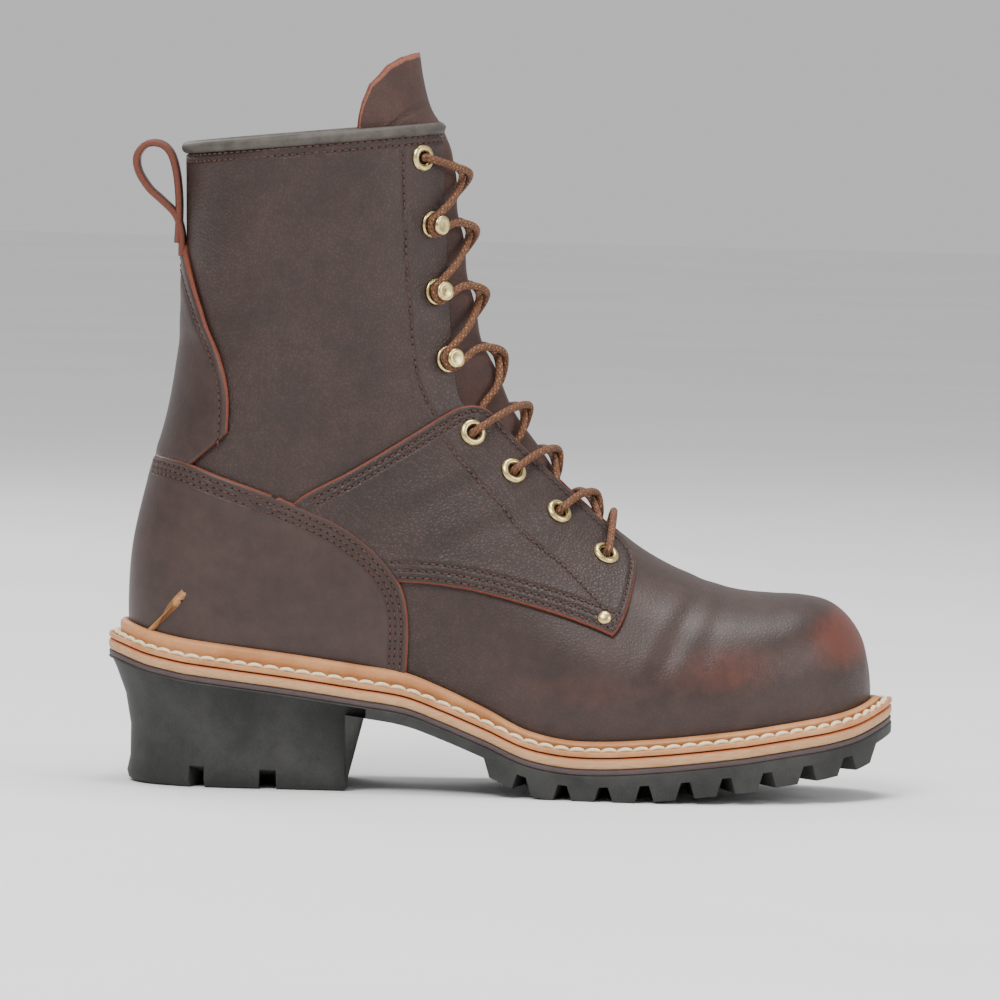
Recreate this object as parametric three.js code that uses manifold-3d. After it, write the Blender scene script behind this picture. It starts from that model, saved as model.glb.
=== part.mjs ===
// Logger boot, right foot: laced eight inch work boot with a high heel, a welted sole and a deep
// lugged tread. Millimetres. +X points to the toe, +Y to the inner (medial) side, +Z up, and the
// origin is on the floor under the middle of the boot.
import * as THREE from "three";
import { mergeVertices } from "three/addons/utils/BufferGeometryUtils.js";
import Module from "manifold-3d";

const wasm = await Module();
wasm.setup();

// Lengths of the last and the shaft.
const upperLength = 288;
const ballBreadth = 100;
const shaftBreadth = 86;
const instepHeight = 190;
const shaftHeight = 70;
const collarDrop = 10.5;

// Sole, from the welt down.
const forefootStack = 20;
const heelRise = 38;
const toeSpring = 19;
const weltMargin = 8.4;
const weltThickness = 2.4;
const weltRibHeight = 6;
const weltRibThickness = 3.4;
const weltTuckUnder = 7;
const midsoleThickness = 3.6;
const slipSoleThickness = 2.3;
const outsoleWeb = 4.2;
const insoleThickness = 3.5;
const insoleClearance = 1.2;

// Leather.
const wallThickness = 2.2;
const overlayThickness = 2;
const seamGap = 0.3;
const tongueThickness = 2.6;
const tongueBed = 4.7;
const tongueCrown = 11;
const tongueFootWidth = 25;
const tongueTopWidth = 38;
const bindingHeight = 4.4;
const bindingRoll = 1.6;
const bindingLining = 0.3;
const loopWidth = 15;
const loopThickness = 4.4;
const loopHeight = 37;
const loopReach = 21.5;
const hardwareLift = 0.6;

// Lacing hardware.
const eyeletRadius = 5.3;
const eyeletHoleRadius = 2.7;
const eyeletRise = 1.3;
const hookBaseRadius = 5.2;
const hookBaseThickness = 1.1;
const hookReach = 6.6;
const hookButtonRadius = 3.8;
const hookButtonThickness = 1.4;
const hookStemRadius = 1.8;
const rivetRadius = 2.9;
const rivetRise = 1.4;
const laceDiameter = 3;
const laceGap = 6;
const laceSteps = 8;
const crossingShare = 0.45; // where a crossing passes the ridge, between its two rows
const facingShare = 0.62; // where it passes the facing's edge, between the ridge and the eyelet

// Tread and heel.
const lugPitch = 15.8;
const firstChannel = 8;
const channelCount = 10;
const channelMouth = 7.4;
const channelCeiling = 3.4;
const lugReach = 23;
const centreRecess = 3;
const treadStart = -4.4;
const treadLean = 2.2;
const heelHeight = 50;
const heelWaist = 9.6;
const heelBreast = -52;
const breastLean = 8;
const liftHeight = 9.6;
const liftSetback = 2.4;
const notchWidth = 7;
const notchDepth = 7;
const notchReach = 20;
const notchRows = [0.134, 0.236]; // behind the breast, as shares of the upper's length
const notchRoof = 4;
const breastStep = 3;

const facets = 9; // facets from the foot line to the ridge, on each side
const farSide = 90; // beyond the boot's widest point

const smooth = (t) => t * t * (3 - 2 * t);
const clamp = (t, low = 0, high = 1) => Math.min(Math.max(t, low), high);
const mix = (a, b, t) => a + (b - a) * t;

// Reads one column of a table at a fractional row, with a Catmull-Rom curve through the rows.
function column(rows, key, at) {
  const i = clamp(Math.floor(at), 0, rows.length - 2);
  const t = at - i;
  const p1 = rows[i][key];
  const p2 = rows[i + 1][key];
  const p0 = i > 0 ? rows[i - 1][key] : 2 * p1 - p2;
  const p3 = i + 2 < rows.length ? rows[i + 2][key] : 2 * p2 - p1;
  const b = p2 - p0;
  const c = 2 * p0 - 5 * p1 + 4 * p2 - p3;
  const d = 3 * p1 - p0 - 3 * p2 + p3;
  return p1 + 0.5 * (b * t + c * t * t + d * t * t * t);
}

// Seat line: the height of the welt's upper face along the boot. along is a share of the upper's
// length from its middle, heel a share of the heel rise and toe a share of the toe spring.
const seatRows = [
  { along: -0.56, heel: 1.04, toe: 0 },
  { along: -0.52, heel: 0.98, toe: 0 },
  { along: -0.48, heel: 0.89, toe: 0 },
  { along: -0.43, heel: 0.82, toe: 0 },
  { along: -0.36, heel: 0.76, toe: 0 },
  { along: -0.28, heel: 0.69, toe: 0 },
  { along: -0.2, heel: 0.61, toe: 0 },
  { along: -0.13, heel: 0.53, toe: 0 },
  { along: -0.07, heel: 0.37, toe: 0 },
  { along: -0.02, heel: 0.22, toe: 0 },
  { along: 0.03, heel: 0.06, toe: 0 },
  { along: 0.08, heel: -0.01, toe: 0 },
  { along: 0.13, heel: -0.02, toe: 0 },
  { along: 0.19, heel: 0, toe: 0.02 },
  { along: 0.26, heel: 0, toe: 0.13 },
  { along: 0.33, heel: 0, toe: 0.26 },
  { along: 0.39, heel: 0, toe: 0.4 },
  { along: 0.44, heel: 0, toe: 0.52 },
  { along: 0.48, heel: 0, toe: 0.67 },
  { along: 0.52, heel: 0, toe: 0.94 },
  { along: 0.56, heel: 0, toe: 1.25 },
];
function seat(x) {
  const along = x / upperLength;
  let i = 0;
  while (i < seatRows.length - 2 && seatRows[i + 1].along < along) i += 1;
  const t = clamp((along - seatRows[i].along) / (seatRows[i + 1].along - seatRows[i].along));
  const rise = column(seatRows, "heel", i + t) * heelRise + column(seatRows, "toe", i + t) * toeSpring;
  return forefootStack + rise;
}
const midsoleTop = (x) => seat(x) - weltThickness - seamGap;
const slipSoleTop = (x) => midsoleTop(x) - midsoleThickness - seamGap;
const outsoleTop = (x) => slipSoleTop(x) - slipSoleThickness - seamGap;
const treadCeiling = (x) => outsoleTop(x) - outsoleWeb;
const tread = (x) => Math.max(0, seat(x) - forefootStack);
const ribTop = (x) => seat(x) + weltRibHeight * (0.62 + 0.5 * smooth(clamp((0.1 * upperLength - x) / 60)));

// Sections of the form, each a straight rib in the side view from a foot point on the sole or the
// back of the heel to a ridge point on the toe, instep or shin. ridgeX and footX are shares of the
// upper's length, ridgeZ of the instep height; outer and inner are half breadths as shares of the
// ball breadth, peak is the ridge's sideways shift, tuck the share of the breadth that is left at
// the foot point; fullTop and fullFoot are the roundness of the section's two ends.
const footRows = [
  {
    ridgeX: 0.5, ridgeZ: 0.2, footX: 0.5, outer: -0.04, inner: 0.04,
    peak: 0.04, tuck: 0.97, fullTop: 2.3, fullFoot: 2.5,
  },
  {
    ridgeX: 0.499, ridgeZ: 0.232, footX: 0.499, outer: 0.005, inner: 0.08,
    peak: 0.04, tuck: 0.97, fullTop: 2.3, fullFoot: 2.5,
  },
  {
    ridgeX: 0.4955, ridgeZ: 0.272, footX: 0.4955, outer: 0.06, inner: 0.13,
    peak: 0.04, tuck: 0.97, fullTop: 2.35, fullFoot: 2.5,
  },
  {
    ridgeX: 0.486, ridgeZ: 0.326, footX: 0.486, outer: 0.14, inner: 0.21,
    peak: 0.041, tuck: 0.965, fullTop: 2.4, fullFoot: 2.5,
  },
  {
    ridgeX: 0.466, ridgeZ: 0.371, footX: 0.466, outer: 0.24, inner: 0.29,
    peak: 0.043, tuck: 0.96, fullTop: 2.45, fullFoot: 2.5,
  },
  {
    ridgeX: 0.439, ridgeZ: 0.4, footX: 0.439, outer: 0.325, inner: 0.35,
    peak: 0.046, tuck: 0.955, fullTop: 2.5, fullFoot: 2.5,
  },
  {
    ridgeX: 0.403, ridgeZ: 0.411, footX: 0.403, outer: 0.402, inner: 0.4,
    peak: 0.05, tuck: 0.95, fullTop: 2.5, fullFoot: 2.5,
  },
  {
    ridgeX: 0.362, ridgeZ: 0.413, footX: 0.362, outer: 0.462, inner: 0.435,
    peak: 0.055, tuck: 0.95, fullTop: 2.4, fullFoot: 2.5,
  },
  {
    ridgeX: 0.32, ridgeZ: 0.418, footX: 0.32, outer: 0.505, inner: 0.456,
    peak: 0.06, tuck: 0.95, fullTop: 2.28, fullFoot: 2.5,
  },
  {
    ridgeX: 0.275, ridgeZ: 0.435, footX: 0.275, outer: 0.53, inner: 0.468,
    peak: 0.065, tuck: 0.95, fullTop: 2.14, fullFoot: 2.5,
  },
  {
    ridgeX: 0.231, ridgeZ: 0.461, footX: 0.231, outer: 0.541, inner: 0.47,
    peak: 0.068, tuck: 0.95, fullTop: 2, fullFoot: 2.5,
  },
  {
    ridgeX: 0.191, ridgeZ: 0.493, footX: 0.188, outer: 0.541, inner: 0.464,
    peak: 0.07, tuck: 0.948, fullTop: 1.9, fullFoot: 2.45,
  },
  {
    ridgeX: 0.157, ridgeZ: 0.529, footX: 0.142, outer: 0.532, inner: 0.452,
    peak: 0.068, tuck: 0.94, fullTop: 1.82, fullFoot: 2.4,
  },
  {
    ridgeX: 0.123, ridgeZ: 0.57, footX: 0.09, outer: 0.51, inner: 0.434,
    peak: 0.064, tuck: 0.928, fullTop: 1.78, fullFoot: 2.35,
  },
  {
    ridgeX: 0.09, ridgeZ: 0.618, footX: 0.032, outer: 0.476, inner: 0.412,
    peak: 0.057, tuck: 0.91, fullTop: 1.76, fullFoot: 2.3,
  },
  {
    ridgeX: 0.06, ridgeZ: 0.669, footX: -0.036, outer: 0.44, inner: 0.393,
    peak: 0.048, tuck: 0.885, fullTop: 1.76, fullFoot: 2.25,
  },
  {
    ridgeX: 0.033, ridgeZ: 0.722, footX: -0.11, outer: 0.412, inner: 0.383,
    peak: 0.038, tuck: 0.862, fullTop: 1.78, fullFoot: 2.2,
  },
  {
    ridgeX: 0.012, ridgeZ: 0.772, footX: -0.19, outer: 0.397, inner: 0.38,
    peak: 0.029, tuck: 0.845, fullTop: 1.8, fullFoot: 2.2,
  },
  {
    ridgeX: -0.006, ridgeZ: 0.822, footX: -0.272, outer: 0.39, inner: 0.38,
    peak: 0.021, tuck: 0.845, fullTop: 1.83, fullFoot: 2.22,
  },
  {
    ridgeX: -0.0215, ridgeZ: 0.87, footX: -0.35, outer: 0.387, inner: 0.381,
    peak: 0.014, tuck: 0.84, fullTop: 1.86, fullFoot: 2.28,
  },
  {
    ridgeX: -0.0345, ridgeZ: 0.915, footX: -0.416, outer: 0.386, inner: 0.382,
    peak: 0.008, tuck: 0.78, fullTop: 1.9, fullFoot: 2.34,
  },
  {
    ridgeX: -0.043, ridgeZ: 0.958, footX: -0.465, outer: 0.386, inner: 0.383,
    peak: 0.004, tuck: 0.57, fullTop: 1.92, fullFoot: 2.38,
  },
  {
    ridgeX: -0.05, ridgeZ: 1, footX: -0.49, outer: 0.386, inner: 0.384,
    peak: 0.001, tuck: 0.3, fullTop: 1.94, fullFoot: 2.4,
  },
];
// Sections of the heel's back and the shaft: shaft is how far the ridge point has climbed, as a
// share of the shaft height above the instep, footZ a share of the collar's height at the back and
// breadth a share of the shaft's.
const shaftRows = [
  {
    ridgeX: -0.056, shaft: 0.12, footX: -0.4975, footZ: 0.222,
    breadth: 0.9, fullTop: 1.95, fullFoot: 2.4,
  },
  {
    ridgeX: -0.0615, shaft: 0.24, footX: -0.5012, footZ: 0.283,
    breadth: 0.902, fullTop: 1.96, fullFoot: 2.38,
  },
  {
    ridgeX: -0.0665, shaft: 0.36, footX: -0.497, footZ: 0.372,
    breadth: 0.908, fullTop: 1.97, fullFoot: 2.32,
  },
  {
    ridgeX: -0.0715, shaft: 0.48, footX: -0.4785, footZ: 0.474,
    breadth: 0.92, fullTop: 1.98, fullFoot: 2.2,
  },
  {
    ridgeX: -0.0752, shaft: 0.59, footX: -0.4545, footZ: 0.58,
    breadth: 0.938, fullTop: 2, fullFoot: 2.1,
  },
  {
    ridgeX: -0.0785, shaft: 0.7, footX: -0.442, footZ: 0.685,
    breadth: 0.956, fullTop: 2, fullFoot: 2.05,
  },
  {
    ridgeX: -0.0805, shaft: 0.8, footX: -0.4403, footZ: 0.787,
    breadth: 0.972, fullTop: 2, fullFoot: 2.02,
  },
  {
    ridgeX: -0.083, shaft: 0.9, footX: -0.4424, footZ: 0.895,
    breadth: 0.986, fullTop: 2, fullFoot: 2,
  },
  {
    ridgeX: -0.0855, shaft: 1, footX: -0.4444, footZ: 1,
    breadth: 1, fullTop: 2, fullFoot: 2,
  },
  {
    ridgeX: -0.1, shaft: 1.1, footX: -0.445, footZ: 1.06,
    breadth: 1, fullTop: 2, fullFoot: 2,
  },
  {
    ridgeX: -0.11, shaft: 1.25, footX: -0.446, footZ: 1.11,
    breadth: 0.99, fullTop: 2, fullFoot: 2,
  },
  {
    ridgeX: -0.117, shaft: 1.43, footX: -0.447, footZ: 1.17,
    breadth: 0.98, fullTop: 2, fullFoot: 2,
  },
];
const collarBackZ = instepHeight + shaftHeight - collarDrop;

const sections = [
  ...footRows.map((r) => ({
    ...r,
    ridgeX: r.ridgeX * upperLength,
    ridgeZ: r.ridgeZ * instepHeight,
    footX: r.footX * upperLength,
    footZ: seat(r.footX * upperLength) + seamGap,
    outer: r.outer * ballBreadth,
    inner: r.inner * ballBreadth,
    peak: r.peak * ballBreadth,
  })),
  ...shaftRows.map((r) => ({
    ridgeX: r.ridgeX * upperLength,
    ridgeZ: instepHeight + r.shaft * shaftHeight,
    footX: r.footX * upperLength,
    footZ: r.footZ * collarBackZ,
    outer: (r.breadth * shaftBreadth) / 2,
    inner: (r.breadth * shaftBreadth) / 2,
    peak: 0,
    tuck: 0,
    fullTop: r.fullTop,
    fullFoot: r.fullFoot,
  })),
];
const heelRow = footRows.length; // first section with its foot on the back of the heel
const collarRow = heelRow + shaftRows.findIndex((r) => r.shaft === 1);
const lastRow = sections.length - 1;

function sectionAt(s) {
  const row = {};
  for (const key of Object.keys(sections[0])) row[key] = column(sections, key, s);
  row.tuck = s >= heelRow ? 0 : clamp(row.tuck, 0, 0.99);
  row.cut = (1 - row.tuck ** row.fullFoot) ** (1 / row.fullFoot);
  return row;
}

// A point of the form: s is the section, v runs from -1 at the outer foot point over the ridge at 0
// to 1 at the inner foot point.
function formPoint(s, v) {
  const row = sectionAt(s);
  const angle = mix(Math.PI, Math.acos(row.cut), Math.abs(v));
  const c = Math.cos(angle);
  const full = c > 0 ? row.fullFoot : row.fullTop;
  const breadth = v < 0 ? row.outer + row.peak : row.inner - row.peak;
  const out = breadth * Math.max(1 - Math.abs(c) ** full, 0) ** (1 / full);
  const t = (row.cut - c) / (row.cut + 1);
  return new THREE.Vector3(
    mix(row.footX, row.ridgeX, t),
    row.peak + Math.sign(v) * out,
    mix(row.footZ, row.ridgeZ, t),
  );
}

function formNormal(s, v) {
  if (s < 1e-6) return new THREE.Vector3(1, 0, 0);
  const ds = 0.02;
  const dv = 0.01;
  const atBack = s >= heelRow && Math.abs(v) > 1 - 1e-6;
  const across = Math.abs(v) < 1e-6
    ? new THREE.Vector3(0, 1, 0)
    : formPoint(s, Math.min(v + dv, 1)).sub(formPoint(s, Math.max(v - dv, -1)));
  if (atBack) across.set(0, -1, 0);
  const along = formPoint(s + ds, v).sub(formPoint(s - ds, v));
  return across.cross(along).normalize();
}

const formOffset = (s, v, offset) => formPoint(s, v).addScaledVector(formNormal(s, v), offset);

// The section and v of the point that lies at x and z in the side view, on one side of the boot.
function locate(x, z, side) {
  const away = (s) => {
    const row = sectionAt(s);
    return (row.ridgeX - row.footX) * (z - row.footZ) - (row.ridgeZ - row.footZ) * (x - row.footX);
  };
  let low = 0;
  let high = lastRow;
  for (let i = 0; i < 40; i += 1) {
    const middle = (low + high) / 2;
    if (away(middle) > 0) low = middle;
    else high = middle;
  }
  const row = sectionAt(low);
  const rib = new THREE.Vector2(row.ridgeX - row.footX, row.ridgeZ - row.footZ);
  const share = new THREE.Vector2(x - row.footX, z - row.footZ).dot(rib) / rib.lengthSq();
  const start = Math.acos(row.cut);
  const angle = Math.acos(clamp(row.cut - clamp(share) * (row.cut + 1), -1, 1));
  return { s: low, v: (side * (Math.PI - angle)) / (Math.PI - start), share };
}

// Whether the form holds a point.
function holds({ x, y, z }) {
  const { s, v, share } = locate(x, z, y < 0 ? -1 : 1);
  return s > 1e-6 && share > 0 && share < 1 && Math.abs(y) < Math.abs(formPoint(s, v).y);
}

function manifoldOf(geometry) {
  geometry.deleteAttribute("normal");
  geometry.deleteAttribute("uv");
  const merged = mergeVertices(geometry, 1e-3);
  const index = merged.index.array;
  const at = (i) => new THREE.Vector3().fromBufferAttribute(merged.attributes.position, i);
  const kept = [];
  let volume = 0;
  for (let i = 0; i < index.length; i += 3) {
    const [a, b, c] = [index[i], index[i + 1], index[i + 2]];
    if (a === b || b === c || a === c) continue;
    kept.push([a, b, c]);
    volume += at(a).dot(at(b).cross(at(c)));
  }
  if (volume < 0) kept.forEach((triangle) => triangle.reverse());
  return new wasm.Manifold(
    new wasm.Mesh({
      numProp: 3,
      vertProperties: new Float32Array(merged.attributes.position.array),
      triVerts: new Uint32Array(kept.flat()),
    }),
  );
}

// Joins rings of equally many points into a closed solid: with flat ends, or back to the first ring.
// Each four-sided cell is split along its shorter diagonal, so both sides of the boot match.
function loft(rings, closed = false) {
  const count = rings[0].length;
  const points = rings.flat();
  const triangles = [];
  for (let i = 0; i + (closed ? 0 : 1) < rings.length; i += 1) {
    const next = ((i + 1) % rings.length) * count;
    for (let j = 0; j < count; j += 1) {
      const k = (j + 1) % count;
      const [a, b, c, d] = [i * count + j, i * count + k, next + k, next + j];
      const across = points[a].distanceTo(points[c]) <= points[b].distanceTo(points[d]);
      triangles.push(...(across ? [a, b, c, a, c, d] : [a, b, d, b, c, d]));
    }
  }
  for (const [first, flip] of closed ? [] : [[0, true], [(rings.length - 1) * count, false]]) {
    const ring = points.slice(first, first + count);
    const centre = ring.reduce((sum, p) => sum.add(p), new THREE.Vector3()).divideScalar(count);
    const last = points.push(centre) - 1;
    for (let j = 0; j < count; j += 1) {
      const a = first + j;
      const b = first + ((j + 1) % count);
      triangles.push(last, flip ? b : a, flip ? a : b);
    }
  }
  const geometry = new THREE.BufferGeometry();
  const places = points.flatMap((p) => [p.x, p.y, p.z]);
  geometry.setAttribute("position", new THREE.Float32BufferAttribute(places, 3));
  geometry.setIndex(triangles);
  return manifoldOf(geometry);
}

// The form grown by an offset, as a closed solid from the toe to a section. below carries the part
// over the foot line further down, so that one form cuts right through another.
function formSolid(offset, end = collarRow, below = 0) {
  const rings = [];
  for (let s = 0; s <= end; s += 1) {
    const drop = new THREE.Vector3(0, 0, s < heelRow ? -below : 0);
    const ring = [formOffset(s, -1, offset).add(drop)];
    for (let j = -facets; j <= facets; j += 1) ring.push(formOffset(s, j / facets, offset));
    ring.push(formOffset(s, 1, offset).add(drop));
    rings.push(ring);
  }
  return loft(rings);
}

// Section and side of each corner of the plan outline, from the toe back along the outer side and
// forward along the inner side.
const outline = [
  ...Array.from({ length: heelRow + 1 }, (_, s) => ({ s, side: -1 })),
  ...Array.from({ length: heelRow - 1 }, (_, i) => ({ s: heelRow - 1 - i, side: 1 })),
];
const acrossOf = (i) => (i === 0 || i === heelRow ? i : outline.length - i);

// How much the counter thickens the upper at x, which the sole follows.
const counterBuild = (x) => (seamGap + overlayThickness) * smooth(clamp((-0.1 * upperLength - x) / 25));

// The plan outline grown by a length, corner by corner.
function plan(grow, spread = 1) {
  const loop = outline.map(({ s, side }) => formPoint(s, side));
  return loop.map((p, i) => {
    const before = loop[(i + loop.length - 1) % loop.length];
    const after = loop[(i + 1) % loop.length];
    const side = new THREE.Vector3(before.y - after.y, after.x - before.x, 0).normalize();
    return new THREE.Vector3(p.x, p.y, 0).addScaledVector(side, grow + spread * counterBuild(p.x));
  });
}
const raise = (p, height) => new THREE.Vector3(p.x, p.y, height(p.x));

// A plate with the plan outline between two heights that vary along the boot.
function plate(grow, bottom, top, spread = 1) {
  const loop = plan(grow, spread);
  return loft(
    loop.slice(0, heelRow + 1).map((outer, i) => {
      const inner = loop[acrossOf(i)];
      return [raise(outer, bottom), raise(inner, bottom), raise(inner, top), raise(outer, top)];
    }),
  );
}

// Half breadth of the sole at x, on the outer side (-1) or the inner side (1).
function soleEdge(x, side) {
  const loop = plan(weltMargin);
  const points = loop.slice(0, heelRow + 1).map((p, i) => (side < 0 ? p : loop[acrossOf(i)]));
  const i = clamp(points.findIndex((p) => p.x < x), 1, heelRow);
  const t = clamp((points[i - 1].x - x) / (points[i - 1].x - points[i].x));
  return Math.abs(mix(points[i - 1].y, points[i].y, t));
}

// A prism from a closed outline of x and z pairs in the side view, between two sideways limits.
function sidePrism(outline, low = -farSide, high = farSide) {
  const shape = new THREE.Shape(outline.map(([x, z]) => new THREE.Vector2(x, z)));
  const geometry = new THREE.ExtrudeGeometry(shape, { depth: high - low, bevelEnabled: false });
  geometry.rotateX(Math.PI / 2);
  geometry.translate(0, high, 0);
  return manifoldOf(geometry);
}

// A slab right across the boot between two heights that vary along it.
function slab(low, high) {
  const xs = [-upperLength, ...seatRows.map((r) => r.along * upperLength), upperLength];
  return loft(
    xs.map((x) => [
      new THREE.Vector3(x, -farSide, low(x)),
      new THREE.Vector3(x, farSide, low(x)),
      new THREE.Vector3(x, farSide, high(x)),
      new THREE.Vector3(x, -farSide, high(x)),
    ]),
  );
}
const floorFar = -60;
const skyFar = 420;

// Outlines in the side view as pairs of shares: along the upper's length from its middle, then up
// the instep height, and past 1 up the shaft height above it.
const place = ([along, up]) => [
  along * upperLength,
  up <= 1 ? up * instepHeight : instepHeight + (up - 1) * shaftHeight,
];
const facingEdge = [
  [-0.0983, 1.99], [-0.0941, 1.69], [-0.0896, 1.41], [-0.0837, 1.075], [-0.08, 0.945], [-0.0747, 0.874],
  [-0.07, 0.8], [-0.033, 0.762], [0.009, 0.695], [0.0434, 0.646], [0.0833, 0.592], [0.118, 0.545],
  [0.1424, 0.52],
];
const counterTop = [
  [-0.6, 0.674], [-0.478, 0.674], [-0.43, 0.662], [-0.383, 0.637], [-0.332, 0.612], [-0.28, 0.583],
  [-0.225, 0.546], [-0.184, 0.504], [-0.1535, 0.458], [-0.135, 0.409], [-0.1275, 0.342], [-0.1285, 0.2],
];
const quarterOutline = [
  [-0.33, 0.56], [-0.2135, 0.653], [-0.1465, 0.715], [-0.093, 0.766], [-0.072, 0.783], [-0.055, 0.787],
  [-0.036, 0.783], [-0.023, 0.768], [0.0163, 0.705], [0.0507, 0.656], [0.0993, 0.588], [0.127, 0.552],
  [0.1545, 0.52], [0.1684, 0.496], [0.1743, 0.465], [0.172, 0.427], [0.165, 0.386], [0.1455, 0.3316],
  [0.1167, 0.349], [0.0757, 0.37], [0.021, 0.393], [-0.0337, 0.4137], [-0.0878, 0.4263], [-0.131, 0.4305],
  [-0.25, 0.42],
];
const backstayOutline = [
  [-0.6, 1.33], [-0.4505, 1.345], [-0.434, 1.2], [-0.418, 0.997], [-0.4007, 0.926], [-0.382, 0.855],
  [-0.3743, 0.793], [-0.3757, 0.711], [-0.382, 0.6], [-0.6, 0.6],
];
const tongueTop = [
  [-0.6, 1.7], [-0.215, 1.9], [-0.208, 2.03], [-0.202, 2.13], [-0.184, 2.23], [-0.16, 2.3], [-0.132, 2.36],
  [-0.11, 2.41], [0.1, 2.5], [0.1, 3], [-0.6, 3],
];
const rimZ = (x) => {
  const rim = sections[collarRow];
  return mix(rim.footZ, rim.ridgeZ, (x - rim.footX) / (rim.ridgeX - rim.footX));
};

// Lacing rows from the toe up, in the same shares.
const lacingRows = [
  { along: 0.128, up: 0.483, kind: "eyelet" },
  { along: 0.063, up: 0.565, kind: "eyelet" },
  { along: 0.0007, up: 0.647, kind: "eyelet" },
  { along: -0.055, up: 0.726, kind: "eyelet" },
  { along: -0.086, up: 0.8826, kind: "hook" },
  { along: -0.103, up: 1.054, kind: "hook" },
  { along: -0.112, up: 1.427, kind: "hook" },
  { along: -0.1233, up: 1.794, kind: "eyelet" },
];
const rivetPlace = [0.134, 0.367];
const quarterRows = 4; // lacing rows that stand on the eyestay quarter
const quarterFace = seamGap + overlayThickness;

const leather = { color: 0x4b3a35, roughness: 0.55, metalness: 0 };
const brass = { color: 0xb9a569, roughness: 0.35, metalness: 0.9 };
const boot = new THREE.Group();
function addPiece(name, solid, look) {
  const data = solid.getMesh();
  const geometry = new THREE.BufferGeometry();
  geometry.setAttribute("position", new THREE.BufferAttribute(new Float32Array(data.vertProperties), 3));
  geometry.setIndex(new THREE.BufferAttribute(new Uint32Array(data.triVerts), 1));
  const mesh = new THREE.Mesh(geometry, new THREE.MeshStandardMaterial(look));
  mesh.name = name;
  boot.add(mesh);
  return mesh;
}

// Sole.
function heelBlock() {
  const rows = [
    { up: 0, inset: 1.1 },
    { up: 0.03, inset: 0.92 },
    { up: 0.07, inset: 0.84 },
    { up: 0.2, inset: 0.97 },
    { up: 0.36, inset: 1 },
    { up: 0.52, inset: 0.93 },
    { up: 0.68, inset: 0.74 },
    { up: 0.84, inset: 0.44 },
    { up: 1, inset: 0.04 },
    { up: 1.2, inset: 0 },
  ];
  const rings = rows.map(({ up, inset }) =>
    plan(weltMargin - inset * heelWaist).map((p) => raise(p, () => up * heelHeight)),
  );
  const side = sidePrism([
    [-farSide * 2, floorFar],
    [heelBreast - breastLean - liftSetback - breastStep, floorFar],
    [heelBreast - breastLean - liftSetback - breastStep, 0],
    [heelBreast - breastLean - liftSetback, liftHeight],
    [heelBreast - breastLean, liftHeight + 2 * seamGap],
    [heelBreast - breastStep, treadCeiling(heelBreast) - 1],
    [heelBreast + breastStep, treadCeiling(heelBreast) + 2],
    [heelBreast + breastStep, skyFar],
    [-farSide * 2, skyFar],
  ]);
  let block = loft(rings).intersect(side).subtract(slab(outsoleTop, () => skyFar));
  for (const x of notchRows.map((share) => heelBreast - share * upperLength)) {
    const profile = [
      [x - notchWidth / 2, floorFar],
      [x + notchWidth / 2, floorFar],
      [x + notchRoof / 2, notchDepth],
      [x - notchRoof / 2, notchDepth],
    ];
    for (const sideways of [-1, 1]) {
      const inner = soleEdge(x, sideways) - heelWaist - notchReach;
      const limits = sideways < 0 ? [-farSide, -inner] : [inner, farSide];
      block = block.subtract(sidePrism(profile, ...limits));
    }
  }
  return block;
}

function treadBlock() {
  const ahead = sidePrism([
    [treadStart - treadLean, skyFar], [treadStart - treadLean, treadCeiling(treadStart)],
    [treadStart, treadCeiling(treadStart) / 2],
    [treadStart, floorFar], [farSide * 2, floorFar], [farSide * 2, skyFar],
  ]);
  let block = plate(weltMargin, tread, outsoleTop).intersect(ahead);
  const recess = plate(weltMargin - lugReach, () => floorFar, (x) => tread(x) + centreRecess);
  block = block.subtract(recess);
  for (let i = 0; i < channelCount; i += 1) {
    const x = Math.min(firstChannel + i * lugPitch, upperLength / 2 + 3.5);
    const top = treadCeiling(x);
    const mouth = channelMouth / 2;
    const ceiling = channelCeiling / 2;
    const profile = [
      [x - mouth, floorFar], [x + mouth, floorFar], [x + mouth, tread(x) - 0.5],
      [x + ceiling, top], [x - ceiling, top], [x - mouth, tread(x) - 0.5],
    ];
    for (const side of [-1, 1]) {
      const inner = Math.max(soleEdge(x, side) - lugReach - 1, 1);
      const limits = side < 0 ? [-farSide, -inner] : [inner, farSide];
      block = block.subtract(sidePrism(profile, ...limits));
    }
  }
  return block;
}

const rubber = { color: 0x2b2b2a, roughness: 0.7, metalness: 0 };
const welted = { color: 0xb9834f, roughness: 0.6, metalness: 0 };
addPiece("outsole", plate(weltMargin, treadCeiling, outsoleTop).add(treadBlock()).add(heelBlock()), rubber);
addPiece(
  "slip_sole",
  plate(weltMargin, (x) => slipSoleTop(x) - slipSoleThickness, slipSoleTop),
  { color: 0x4a4143, roughness: 0.7, metalness: 0 },
);
addPiece("midsole", plate(weltMargin, (x) => midsoleTop(x) - midsoleThickness, midsoleTop), welted);

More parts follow.
